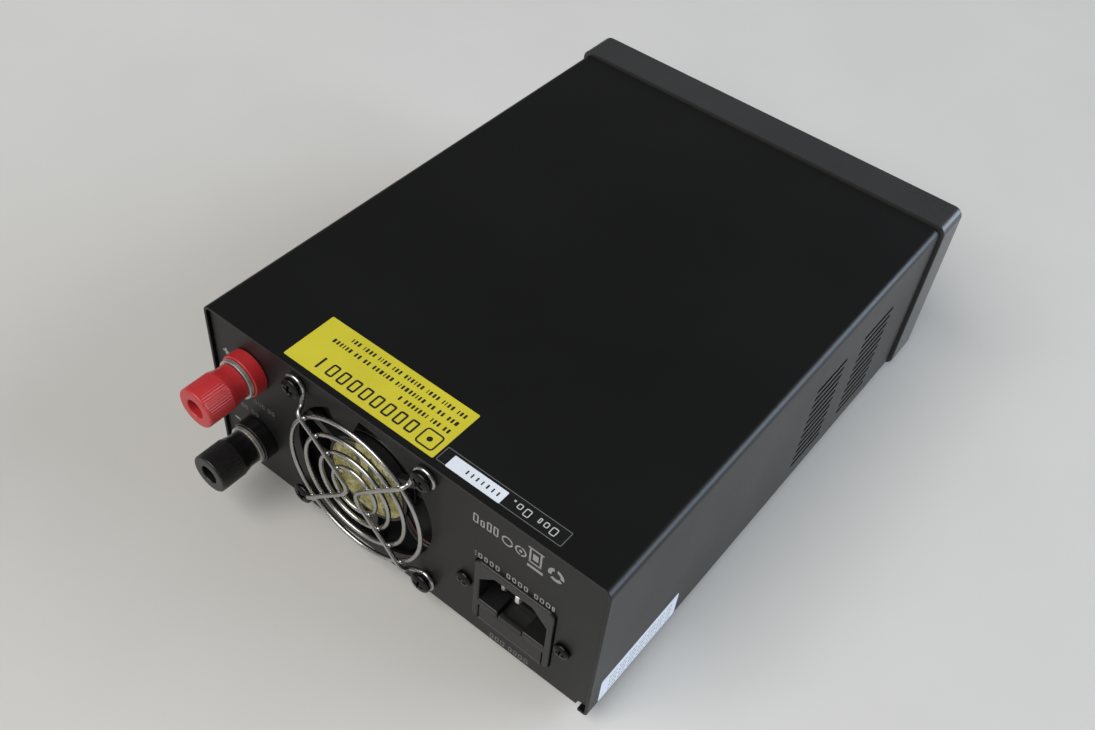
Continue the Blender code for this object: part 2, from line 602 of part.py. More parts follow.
# ---------------------------------------------------------------- mains inlet
FACE_Y = PANEL_Y + INLET_PROUD
inlet_loop = rounded(rectangle(-INLET_W / 2, -INLET_H / 2, INLET_W / 2, INLET_H / 2), 2.4, 3)
inlet_housing = plate_facing_y("inlet_housing", [inlet_loop], INLET_BACK, FACE_Y, "black_plastic", at=(INLET_X, INLET_Z))
flange_loops = [rounded([(-23.0, 0.0), (-12.5, -13.5), (12.5, -13.5), (23.0, 0.0), (12.5, 13.5), (-12.5, 13.5)],
                        [4.0, 4.0, 4.0, 4.0, 4.0, 4.0], 3)]
join(inlet_housing, plate_facing_y("inlet_flange", flange_loops, PANEL_Y - PANEL_T - GAP - 3.0, PANEL_Y - PANEL_T - GAP,
                                   cutter=True, at=(INLET_X, INLET_Z)))
recess = [(-RECESS_W / 2, RECESS_Z0), (RECESS_W / 2, RECESS_Z0), (RECESS_W / 2, 5.8), (6.6, RECESS_Z1), (-6.6, RECESS_Z1),
          (-RECESS_W / 2, 5.8)]
cut(inlet_housing,
    plate_facing_y("inlet_recess", [rounded(recess, [1.0, 1.0, 1.0, 1.0, 1.0, 1.0], 2)], FACE_Y - RECESS_DEPTH, FACE_Y + 2,
                   cutter=True, at=(INLET_X, INLET_Z)),
    span_box("inlet_drawer_bay", (INLET_X - DRAWER_W / 2 - GAP, INLET_BACK + 1.5, INLET_Z + DRAWER_Z0 - 0.25),
             (INLET_X + DRAWER_W / 2 + GAP, FACE_Y + 2, INLET_Z + DRAWER_Z1 + 0.25), cutter=True))
for sx in (-1, 1):
    cut(inlet_housing, cylinder(f"inlet_screw_bore_{sx}", 1.75, PANEL_Y - 12, PANEL_Y + 2, (INLET_X + sx * INLET_PITCH / 2, 0, INLET_Z),
                                steps=12, cutter=True))

# Three blades stand in the recess; each passes through the inlet's back wall.
PIN_TIP = FACE_Y - 4.6
PINS = {"inlet_pin_line": (-7.0, 1.2), "inlet_pin_neutral": (7.0, 1.2), "inlet_pin_earth": (0.0, 5.2)}
for name, (px, pz) in PINS.items():
    cut(inlet_housing, span_box(name + "_slot", (INLET_X + px - 1.3, INLET_BACK - 1, INLET_Z + pz - 2.3),
                                (INLET_X + px + 1.3, FACE_Y - RECESS_DEPTH + 1, INLET_Z + pz + 2.3), cutter=True))
    span_box(name, (INLET_X + px - 1.0, INLET_BACK - 5.0, INLET_Z + pz - 2.0), (INLET_X + px + 1.0, PIN_TIP, INLET_Z + pz + 2.0),
             "nickel", edges=along(1), width=0.5, segments=1)
for sx, name in ((1, "inlet_screw_1"), (-1, "inlet_screw_2")):
    pan_screw(name, (INLET_X + sx * INLET_PITCH / 2, PANEL_Y + 0.2, INLET_Z), (-90, 0, 0), 2.75, 1.6, 1.4, 7.0, steps=12)

# Fuse drawer: a shallow tray with a finger notch, pulled straight out, and its cartridge fuse.
dz0, dz1 = INLET_Z + DRAWER_Z0, INLET_Z + DRAWER_Z1
DRAWER_Y0 = INLET_BACK + 2.2
fuse_drawer = span_box("fuse_drawer", (INLET_X - DRAWER_W / 2, DRAWER_Y0, dz0), (INLET_X + DRAWER_W / 2, FACE_Y - 0.1, dz1),
                       "black_plastic")
cut(fuse_drawer,
    span_box("fuse_cradle", (INLET_X - 3.2, FACE_Y - 24.5, dz0 + 0.7), (INLET_X + 3.2, FACE_Y - 3.2, dz1 + 1), cutter=True),
    span_box("drawer_notch", (INLET_X - 4.5, FACE_Y - 1.6, dz1 - 2.6), (INLET_X + 4.5, FACE_Y + 1, dz1 + 1), cutter=True))
mains_fuse = turned_mesh_object("mains_fuse", [(0, 10.0), (2.55, 10.0), (2.55, 5.2), (2.3, 5.1), (2.3, -5.1), (2.55, -5.2),
                                               (2.55, -10.0), (0, -10.0)],
                                (INLET_X, FACE_Y - 13.9, dz0 + 0.7 + 0.2 + 2.55), "glass", steps=12)

# ---------------------------------------------------------------- output posts
for name, pz in POST_Z.items():
    colour = "red_plastic" if name == "positive" else "black_plastic"
    at = (POST_X, PANEL_Y, pz)
    # insulating base: a collar outside, a shank through the panel and a shoulder inside the bore
    turned_mesh_object(f"{name}_post_base",
                       [(POST_COLLAR_R - 0.5, POST_COLLAR_L), (POST_COLLAR_R, POST_COLLAR_L - 0.5), (POST_COLLAR_R, 0.2), (4.6, 0.2),
                        (4.6, -3.0), (3.3, -3.0), (3.3, POST_COLLAR_L)], at, colour, steps=24, closed=True)
    # stud: a threaded tube with a 4 mm socket and a cross hole for bare wire
    stud = turned_mesh_object(f"{name}_post_stud",
                              [(POST_STUD_R - 0.35, 16.8), (POST_STUD_R, 16.45), (POST_STUD_R, -15.0), (2.05, -15.0), (2.05, 16.8)],
                              at, "plated_brass", steps=20, closed=True)
    cut(stud, cylinder(f"{name}_wire_hole", 1.3, -6.0, 6.0, (POST_X, PANEL_Y + POST_COLLAR_L + 2.4, pz), turn=(0, 0, 0), steps=12,
                       cutter=True))
    # nut inside the case
    nut = plate_facing_y(f"{name}_post_nut", [circle(POST_X, pz, 5.6, 6), circle(POST_X, pz, POST_STUD_R + 0.3, 16)],
                         PANEL_Y - 9.2, PANEL_Y - 6.4, "nickel")
    # loose clamping washer under the cap
    turned_mesh_object(f"{name}_post_washer",
                       [(POST_WASHER_R, 0.65), (POST_WASHER_R, -0.65),
                        (3.3, -0.65), (3.3, 0.65)], (POST_X, PANEL_Y + POST_COLLAR_L + 0.25 + 0.65, pz), "nickel", steps=24, closed=True)
    # cap: ribbed grip in front, a plain shoulder that narrows towards the washer
    c0, c1 = POST_CAP_Y0, POST_CAP_Y1
    cap = turned_mesh_object(f"{name}_post_cap",
                             [(POST_CAP_R - 0.8, c1), (POST_CAP_R, c1 - 0.8), (POST_CAP_R, c0 + 5.2), (POST_CAP_REAR_R, c0 + 2.4), (POST_CAP_REAR_R, c0), (POST_BORE, c0), (POST_BORE, c1)],
                             at, colour, steps=24, closed=True)

# ---------------------------------------------------------------- inside: main board and what stands on it
board_loops = [rectangle(-68.0, -84.0, 68.0, 60.0)] + [circle(x, y, 1.7, 8) for x, y in BOSS]
add("main_circuit_board", plate_mesh("main_circuit_board", board_loops, BOARD_T), (0, 0, BOARD_Z0 + BOARD_T / 2), "board")
DECK = BOARD_Z0 + BOARD_T + GAP

transformer = span_box("transformer", (-2.0, -36.0, DECK), (38.0, 2.0, DECK + 34.0), "ferrite")
winding_a = span_box("transformer_winding_a", (4.0, -41.0, DECK + 5.0), (32.0, 7.0, DECK + 29.0), cutter=True, edges=along(2), width=6.0)
join(transformer, winding_a)

for i, (x, y) in enumerate(((-52.0, 14.0), (-52.0, 42.0))):
    turned_mesh_object(f"bulk_capacitor_{i + 1}", [(0, 40.0), (10.6, 40.0), (11.0, 39.4), (12.5, 39.0), (12.5, 4.4), (12.1, 3.8),
                                                   (12.5, 3.2), (12.5, 0.0), (0, 0.0)], (x, y, DECK), "sleeve", turn=(0, 0, 0), steps=18)
turned_mesh_object("output_capacitor", [(0, 30.0), (7.0, 30.0), (8.0, 29.4), (8.0, 3.4), (7.6, 3.0), (8.0, 2.6), (8.0, 0.0), (0, 0.0)],
                   (30.0, 46.0, DECK), "sleeve", turn=(0, 0, 0), steps=16)


def comb(x0, width, side, height, fins, fin_t=1.4, back_t=3.0):
    """A finned heat sink's section: an upright back with level fins out to one side."""
    pts = [(x0, DECK), (x0 + side * back_t, DECK)]
    pitch = (height - fin_t) / (fins - 1)
    for f in range(fins):
        z = DECK + f * pitch
        tip = x0 + side * width
        if f:
            pts.append((x0 + side * back_t, z))
        pts += [(tip, z), (tip, z + fin_t)]
        if f < fins - 1:
            pts.append((x0 + side * back_t, z + fin_t))
    pts.append((x0, DECK + height))
    return pts


bar_along_y("primary_heatsink", [comb(-20.0, 16.0, -1, 42.0, 7)], -78.0, 34.0, "aluminium")
bar_along_y("secondary_heatsink", [comb(48.0, 16.0, 1, 42.0, 7)], -78.0, 20.0, "aluminium")


def toroid(name, major, minor, at, look, turn=(0, 0, 0), major_steps=20, minor_steps=8):
    points = [(major + minor * math.cos(-math.tau * i / minor_steps + math.pi / 2 - 0.3),
               minor * math.sin(-math.tau * i / minor_steps + math.pi / 2 - 0.3)) for i in range(minor_steps)]
    return turned_mesh_object(name, points, at, look, turn, major_steps, closed=True)


toroid("output_choke", 11.0, 6.0, (14.0, 26.0, DECK + 6.2), "copper")
toroid("mains_filter_choke", 8.0, 4.6, (-52.0, -20.0, DECK + 4.8), "copper", major_steps=18)

# Copper bars from the board to the posts.
BAR_Y0, BAR_Y1 = PANEL_Y - 5.9, PANEL_Y - 4.4
pz = POST_Z["positive"]
positive_busbar = plate_facing_y("positive_busbar", [rectangle(51.5, pz - 6, 66.0, pz + 6), circle(POST_X, pz, POST_STUD_R + 0.4, 12)],
                                 BAR_Y0, BAR_Y1, "copper")
join(positive_busbar,
     span_box("positive_bar_run", (64.5, 44.0, pz - 6), (66.0, BAR_Y1 - 0.2, pz + 6), cutter=True),
     span_box("positive_bar_leg", (64.5, 44.0, DECK), (66.0, 54.0, pz - 5), cutter=True))
pz = POST_Z["negative"]
negative_busbar = plate_facing_y("negative_busbar", [rectangle(49.0, pz - 6, 64.5, pz + 6), circle(POST_X, pz, POST_STUD_R + 0.4, 12)],
                                 BAR_Y0, BAR_Y1, "copper")
join(negative_busbar,
     span_box("negative_bar_run", (49.0, 44.0, pz - 6), (50.5, BAR_Y1 - 0.2, pz + 6), cutter=True),
     span_box("negative_bar_leg", (49.0, 44.0, DECK), (50.5, 54.0, pz - 5), cutter=True))

# ---------------------------------------------------------------- control panel
d0, e0, d1, e1 = DISPLAY
span_box("display_window", (d0 + 0.25, FASCIA_Y0, e0 + 0.25), (d1 - 0.25, FASCIA_Y0 + 1.0, e1 - 0.25), "smoked")
BOARD_Y = -96.6                              # front face of the upright control board
span_box("display_module", (d0 + 2.5, FASCIA_Y0 + FASCIA_T + GAP, e0 + 2.2), (d1 - 2.5, BOARD_Y - GAP, e1 - 2.2), "black_plastic")
control_loops = [[(-69.0, 29.0), (-46.0, 29.0), (-46.0, 18.0), (68.0, 18.0), (68.0, 58.0), (-69.0, 58.0)]]
plate_facing_y("control_board", control_loops, BOARD_Y, BOARD_Y + 1.6, "board")

for name, x in KNOB_X.items():
    # potentiometer: a round body on the board with a bushing through the fascia
    face = FASCIA_Y0 + FASCIA_T + GAP
    turned_mesh_object(f"{name}_potentiometer",
                       [(0, -6.0), (3.1, -6.0), (3.1, 8.0), (3.5, 8.0), (3.5, 0.0), (8.0, 0.0), (8.0, -7.0), (0, -7.0)],
                       (x, face, KNOB_Z), "nickel", turn=(90, 0, 0), steps=18)
    # its shaft, with a flat, turns with the knob
    shaft = cylinder(f"{name}_shaft", 2.8, -5.5, 15.0, (x, face, KNOB_Z), "nickel", turn=(90, 0, 0), steps=14)
    cut(shaft, span_box(f"{name}_shaft_flat", (x - 4, KNOB_FRONT + 0.5, KNOB_Z + 1.5), (x + 4, face - 9.0, KNOB_Z + 4), cutter=True))
    depth = FASCIA_Y0 - 0.8 - KNOB_FRONT
    knob = turned_mesh_object(f"{name}_knob",
                              [(0, depth), (KNOB_R - 2.2, depth), (KNOB_R - 1.2, depth - 1.0), (KNOB_R, 1.6),
                               (KNOB_R, 0.0), (6.2, 0.0), (6.2, 4.6), (3.1, 4.6), (3.1, depth - 1.4), (0, depth - 1.4)],
                              (x, FASCIA_Y0 - 0.8, KNOB_Z), "black_plastic", turn=(90, 0, 0), steps=24)
    cut(knob, span_box(f"{name}_knob_line", (x - 0.6, KNOB_FRONT - 1, KNOB_Z + 3.0), (x + 0.6, KNOB_FRONT + 0.6, KNOB_Z + 12), cutter=True))

# Rocker switch: a flanged body and a rocker that tips about a level axis.
sw_front = FASCIA_Y0 - 2.0
power_switch_body = span_box("power_switch_body", (SWITCH_X - 7.6, sw_front, SWITCH_Z - 10.9), (SWITCH_X + 7.6, FASCIA_Y0 - GAP, SWITCH_Z + 10.9),
                             "black_plastic", edges=along(1), width=1.0)
join(power_switch_body, span_box("switch_can", (SWITCH_X - 6.5, FASCIA_Y0 - 1.0, SWITCH_Z - 9.7), (SWITCH_X + 6.5, -98.0, SWITCH_Z + 9.7), cutter=True))
cut(power_switch_body, span_box("switch_mouth", (SWITCH_X - 5.3, sw_front - 1, SWITCH_Z - 8.6), (SWITCH_X + 5.3, -99.2, SWITCH_Z + 8.6), cutter=True))
ROCKER_AXIS_Y = FASCIA_Y0 + 1.4
rocker_side = [(-7.6, -1.0), (-7.6, 3.2), (-4.0, 1.9), (0.0, 1.5), (4.0, 1.9), (7.6, 3.2), (7.6, -1.0), (4.5, -3.6), (-4.5, -3.6)]
rocker_side = [(a, b + 1.1) for a, b in rocker_side]
power_rocker = add("power_rocker", plate_mesh("power_rocker", [rocker_side], 9.8), (SWITCH_X, ROCKER_AXIS_Y, SWITCH_Z), "black_plastic")
# outline x runs up the panel and outline y stands out of it, towards -Y
power_rocker.data.transform(Matrix(((0, 0, 1, 0), (0, -1, 0, 0), (1, 0, 0, 0), (0, 0, 0, 1))))
power_rocker.rotation_euler = (math.radians(-ROCKER_TILT), 0, 0)

turned_mesh_object("status_led", [(0, 3.6), (0.8, 3.4), (1.35, 2.7), (1.5, 1.9), (1.5, -3.4), (0, -3.4)],
                   (-38.0, FASCIA_Y0 + FASCIA_T, SWITCH_Z), "led_green", turn=(90, 0, 0), steps=12)

bpy.context.view_layer.update()
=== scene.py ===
# The looks of the bench power supply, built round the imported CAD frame.
import math
import random

import bmesh
import bpy
from mathutils import Matrix, Vector


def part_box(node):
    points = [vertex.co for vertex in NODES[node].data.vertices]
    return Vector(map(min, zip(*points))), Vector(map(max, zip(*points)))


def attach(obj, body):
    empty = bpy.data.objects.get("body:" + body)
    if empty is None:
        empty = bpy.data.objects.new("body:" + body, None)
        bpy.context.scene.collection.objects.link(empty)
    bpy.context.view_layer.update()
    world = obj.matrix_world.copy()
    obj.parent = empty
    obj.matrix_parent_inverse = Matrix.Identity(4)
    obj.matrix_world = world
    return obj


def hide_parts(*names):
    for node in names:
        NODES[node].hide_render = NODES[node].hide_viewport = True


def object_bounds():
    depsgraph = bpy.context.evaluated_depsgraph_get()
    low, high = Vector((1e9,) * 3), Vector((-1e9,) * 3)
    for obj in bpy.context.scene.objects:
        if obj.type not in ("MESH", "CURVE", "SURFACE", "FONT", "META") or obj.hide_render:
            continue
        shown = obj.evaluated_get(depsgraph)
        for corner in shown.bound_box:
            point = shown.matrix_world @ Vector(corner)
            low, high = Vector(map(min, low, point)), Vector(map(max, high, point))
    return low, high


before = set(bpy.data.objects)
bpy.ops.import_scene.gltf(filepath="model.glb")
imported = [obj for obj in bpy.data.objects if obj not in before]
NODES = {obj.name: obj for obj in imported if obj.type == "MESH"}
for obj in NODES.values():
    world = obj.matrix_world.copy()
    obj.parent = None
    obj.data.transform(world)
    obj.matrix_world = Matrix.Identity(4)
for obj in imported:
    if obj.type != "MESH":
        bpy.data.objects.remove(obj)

CAD_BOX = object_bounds()
MM = 0.001


# ---------------------------------------------------------------- places
# The case frame: x = 0 on its centre plane, y = 0 at the cover's middle, z = 0 at its lower edge, in mm.
_lo, _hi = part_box("top_cover")
BASE = Vector(((_lo.x + _hi.x) / 2, (_lo.y + _hi.y) / 2, _lo.z))
CASE_W, COVER_L, CASE_H = ((_hi - _lo) / MM)


def P(x, y, z):
    return BASE + Vector((x, y, z)) * MM


def node_box(name):
    """A node's box in the case frame, in mm."""
    lo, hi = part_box(name)
    return (lo - BASE) / MM, (hi - BASE) / MM


def node_centre(name):
    lo, hi = node_box(name)
    return (lo + hi) / 2


# ---------------------------------------------------------------- mesh helpers
def link(obj):
    bpy.context.scene.collection.objects.link(obj)
    return obj


def from_bm(name, bm, mats, smooth=40.0):
    bmesh.ops.recalc_face_normals(bm, faces=bm.faces)
    mesh = bpy.data.meshes.new(name)
    bm.to_mesh(mesh)
    bm.free()
    obj = link(bpy.data.objects.new(name, mesh))
    for m in (mats if isinstance(mats, (list, tuple)) else [mats]):
        mesh.materials.append(m)
    if smooth:
        mesh.shade_smooth()
        mesh.set_sharp_from_angle(angle=math.radians(smooth))
    return obj


def loft_rings(bm, rings, closed_ring=True, cap_a=True, cap_b=True, closed_path=False, material=0):
    """Faces between successive rings of equal length. rings hold points in the case frame, mm."""
    made = [[bm.verts.new(P(*p)) for p in ring] for ring in rings]
    n = len(rings[0])
    pairs = list(zip(made, made[1:]))
    if closed_path:
        pairs.append((made[-1], made[0]))
    for a, b in pairs:
        for i in range(n if closed_ring else n - 1):
            j = (i + 1) % n
            f = bm.faces.new((a[i], a[j], b[j], b[i]))
            f.material_index = material
    if not closed_path:
        if cap_a:
            bm.faces.new(made[0][::-1]).material_index = material
        if cap_b:
            bm.faces.new(made[-1]).material_index = material
    return made


def revolve(name, profile, at, axis, mats, steps=64, closed=False, smooth=35.0, start=0.0, bm=None):
    """A turned piece: profile of (radius, height) in mm, about axis through at. Radii of 0 become a pole."""
    own = bm is None
    bm = bm or bmesh.new()
    ax = Vector(axis).normalized()
    side = ax.orthogonal().normalized()
    other = ax.cross(side)
    rows = []
    for r, h in profile:
        c = Vector(at) + ax * h
        if r < 1e-6:
            rows.append([bm.verts.new(P(*c))])
        else:
            rows.append([bm.verts.new(P(*(c + (side * math.cos(start + math.tau * i / steps) + other * math.sin(start + math.tau * i / steps)) * r)))
                         for i in range(steps)])
    pairs = list(zip(rows, rows[1:]))
    if closed:
        pairs.append((rows[-1], rows[0]))
    for a, b in pairs:
        for i in range(steps):
            j = (i + 1) % steps
            if len(a) == 1 and len(b) == 1:
                continue
            if len(a) == 1:
                bm.faces.new((a[0], b[j], b[i]))
            elif len(b) == 1:
                bm.faces.new((a[i], a[j], b[0]))
            else:
                bm.faces.new((a[i], a[j], b[j], b[i]))
    if own:
        return from_bm(name, bm, mats, smooth)
    return None


def arc(cx, cy, r, a0, a1, n):
    return [(cx + r * math.cos(math.radians(a0 + (a1 - a0) * i / n)), cy + r * math.sin(math.radians(a0 + (a1 - a0) * i / n))) for i in range(n + 1)]


def rounded_poly(points, radius, steps=6):
    """A closed outline with its corners rounded. radius is one number or one for each corner."""
    out = []
    n = len(points)
    for i, p in enumerate(points):
        r = radius[i] if isinstance(radius, (list, tuple)) else radius
        here = Vector(p)
        if r <= 0:
            out.append(tuple(here))
            continue
        before = (Vector(points[i - 1]) - here).normalized()
        after = (Vector(points[(i + 1) % n]) - here).normalized()
        half = before.angle(after) / 2
        back = r / math.tan(half)
        centre = here + (before + after).normalized() * (r / math.sin(half))
        a = here + before * back - centre
        b = here + after * back - centre
        sweep = a.angle_signed(b)
        for k in range(steps + 1):
            angle = -sweep * k / steps
            out.append((centre.x + a.x * math.cos(angle) - a.y * math.sin(angle), centre.y + a.x * math.sin(angle) + a.y * math.cos(angle)))
    return out


def rect(x0, y0, x1, y1):
    return [(x0, y0), (x1, y0), (x1, y1), (x0, y1)]


def ring_of(cx, cy, r, n=96):
    return [(cx + r * math.cos(math.tau * i / n), cy + r * math.sin(math.tau * i / n)) for i in range(n)]


def offset_loop(loop, d):
    """The loop moved inwards by d (a positive d shrinks a counter-clockwise loop)."""
    n = len(loop)
    out = []
    for i in range(n):
        a, b, c = Vector(loop[i - 1]), Vector(loop[i]), Vector(loop[(i + 1) % n])
        e1, e2 = (b - a), (c - b)
        if e1.length < 1e-9 or e2.length < 1e-9:
            out.append(tuple(b))
            continue
        n1, n2 = Vector((-e1.y, e1.x)).normalized(), Vector((-e2.y, e2.x)).normalized()
        m = n1 + n2
        if m.length < 1e-6:
            out.append(tuple(b + n1 * d))
            continue
        m.normalize()
        k = d / max(0.35, m.dot(n1))
        out.append(tuple(b + m * k))
    return out


def area_of(loop):
    return sum(a[0] * b[1] - b[0] * a[1] for a, b in zip(loop, loop[1:] + loop[:1])) / 2


def ccw(loop, want=True):
    return loop if (area_of(loop) > 0) == want else loop[::-1]


def plate(name, outer, holes, y0, y1, mats, chamfer=0.15, to=None, smooth=35.0, side_chamfers=(True, True), bm=None, material=0):
    """A flat plate with holes between y0 and y1 whose outline lies in X and Z, with small chamfers on every rim.
    to(u, v, w) maps outline u, v and depth w to the case frame; the default is (u, w, v)."""
    to = to or (lambda u, v, w: (u, w, v))
    own = bm is None
    bm = bm or bmesh.new()
    loops = [ccw(outer, True)] + [ccw(h, False) for h in holes]

    def face_set(w, inset):
        rings = []
        for loop in loops:
            pts = offset_loop(loop, inset) if inset else loop
            rings.append([bm.verts.new(P(*to(u, v, w))) for u, v in pts])
        return rings

    c0 = chamfer if side_chamfers[0] else 0.0
    c1 = chamfer if side_chamfers[1] else 0.0
    levels = []
    if c0:
        levels.append(face_set(y0, c0))
        levels.append(face_set(y0 + c0, 0.0))
    else:
        levels.append(face_set(y0, 0.0))
    if c1:
        levels.append(face_set(y1 - c1, 0.0))
        levels.append(face_set(y1, c1))
    else:
        levels.append(face_set(y1, 0.0))
    for a, b in zip(levels, levels[1:]):
        for ra, rb in zip(a, b):
            n = len(ra)
            for i in range(n):
                j = (i + 1) % n
                bm.faces.new((ra[i], ra[j], rb[j], rb[i])).material_index = material
    for rings in (levels[0], levels[-1]):
        edges = []
        for ring in rings:
            n = len(ring)
            for i in range(n):
                e = bm.edges.get((ring[i], ring[(i + 1) % n]))
                edges.append(e)
        filled = bmesh.ops.triangle_fill(bm, use_beauty=True, use_dissolve=False, edges=edges)
        for g in filled["geom"]:
            if isinstance(g, bmesh.types.BMFace):
                g.material_index = material
    if own:
        return from_bm(name, bm, mats, smooth)
    return None


def rounded_box(name, lo, hi, radius, mats, segments=3, smooth=35.0, edges=None):
    bm = bmesh.new()
    bmesh.ops.create_cube(bm, size=1.0)
    for v in bm.verts:
        v.co = P(*[(c + 0.5) * (b - a) + a for c, a, b in zip(v.co, lo, hi)])
    chosen = [e for e in bm.edges if edges is None or edges(e)]
    bmesh.ops.bevel(bm, geom=chosen, offset=radius * MM, segments=segments, profile=0.5, affect="EDGES")
    return from_bm(name, bm, mats, smooth)


def add_box(bm, lo, hi, radius=0.0, segments=2, material=0):
    made = bmesh.ops.create_cube(bm, size=1.0)
    verts = made["verts"]
    for v in verts:
        v.co = P(*[(c + 0.5) * (b - a) + a for c, a, b in zip(v.co, lo, hi)])
    faces = {f for v in verts for f in v.link_faces}
    for f in faces:
        f.material_index = material
    if radius:
        edges = list({e for v in verts for e in v.link_edges})
        bmesh.ops.bevel(bm, geom=edges, offset=radius * MM, segments=segments, profile=0.5, affect="EDGES")


def smooth_path(points, per_span=6, closed=False):
    """A Catmull-Rom curve through the points."""
    pts = [Vector(p) for p in points]
    n = len(pts)
    out = []
    spans = n if closed else n - 1
    for i in range(spans):
        if closed:
            a, b, c, d = pts[i - 1], pts[i], pts[(i + 1) % n], pts[(i + 2) % n]
        else:
            b, c = pts[i], pts[i + 1]
            a = pts[i - 1] if i else b * 2 - c
            d = pts[i + 2] if i + 2 < n else c * 2 - b
        for k in range(per_span):
            t = k / per_span
            out.append(0.5 * (2 * b + (c - a) * t + (2 * a - 5 * b + 4 * c - d) * t * t + (3 * b - a - 3 * c + d) * t ** 3))
    if not closed:
        out.append(pts[-1])
    return out


def tube(bm, path, radius, sides=14, closed=False, material=0, round_ends=True):
    """A round wire along case-frame points, with parallel-carried rings and domed ends."""
    pts = [Vector(p) for p in path]
    n = len(pts)
    tangents = []
    for i in range(n):
        if closed:
            t = pts[(i + 1) % n] - pts[i - 1]
        else:
            t = pts[min(i + 1, n - 1)] - pts[max(i - 1, 0)]
        tangents.append(t.normalized())
    normal = tangents[0].orthogonal().normalized()
    rings = []
    frames = []
    for i in range(n):
        normal = (normal - tangents[i] * normal.dot(tangents[i]))
        normal.normalize()
        frames.append((normal.copy(), tangents[i].cross(normal)))
    twist = 0.0
    if closed:
        last = (normal - tangents[0] * normal.dot(tangents[0])).normalized()
        twist = frames[0][0].angle(last)
        if frames[0][0].cross(last).dot(tangents[0]) < 0:
            twist = -twist
    def ring(c, u, v, r, extra=0.0):
        return [bm.verts.new(P(*(c + (u * math.cos(extra + math.tau * k / sides) + v * math.sin(extra + math.tau * k / sides)) * r))) for k in range(sides)]
    if not closed and round_ends:
        for q in (0.15, 0.5, 0.8):
            rings.append(ring(pts[0] - tangents[0] * radius * 0.6 * (1 - q), *frames[0], radius * math.sin(math.acos(1 - q)) if q < 1 else radius))
    for i in range(n):
        rings.append(ring(pts[i], *frames[i], radius, -twist * i / n))
    if not closed and round_ends:
        for q in (0.8, 0.5, 0.15):
            rings.append(ring(pts[-1] + tangents[-1] * radius * 0.6 * (1 - q), *frames[-1], radius * math.sin(math.acos(1 - q))))
    pairs = list(zip(rings, rings[1:]))
    if closed:
        pairs.append((rings[-1], rings[0]))
    for a, b in pairs:
        for k in range(sides):
            m = (k + 1) % sides
            bm.faces.new((a[k], a[m], b[m], b[k])).material_index = material
    if not closed:
        bm.faces.new(rings[0][::-1]).material_index = material
        bm.faces.new(rings[-1]).material_index = material


def put(obj, body, *nodes, slot=None):
    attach(obj, body)
    if nodes:
        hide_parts(*nodes)
    return obj


def boolean(obj, cutter_bm, name, operation="DIFFERENCE"):
    """Cuts obj with a bmesh of closed cutters and applies the result."""
    mesh = bpy.data.meshes.new(name)
    cutter_bm.to_mesh(mesh)
    cutter_bm.free()
    cutter = link(bpy.data.objects.new(name, mesh))
    step = obj.modifiers.new(name, "BOOLEAN")
    step.operation = operation
    step.solver = "EXACT"
    step.object = cutter
    bpy.context.view_layer.update()
    deps = bpy.context.evaluated_depsgraph_get()
    made = bpy.data.meshes.new_from_object(obj.evaluated_get(deps))
    obj.modifiers.clear()
    old = obj.data
    obj.data = made
    bpy.data.meshes.remove(old)
    bpy.data.objects.remove(cutter, do_unlink=True)
    bpy.data.meshes.remove(mesh)
    return obj


def clean(obj, smooth=35.0, merge=0.000002):
    bm = bmesh.new()
    bm.from_mesh(obj.data)
    bmesh.ops.remove_doubles(bm, verts=bm.verts, dist=merge)
    bmesh.ops.recalc_face_normals(bm, faces=bm.faces)
    bm.to_mesh(obj.data)
    bm.free()
    obj.data.shade_smooth()
    obj.data.set_sharp_from_angle(angle=math.radians(smooth))
    return obj


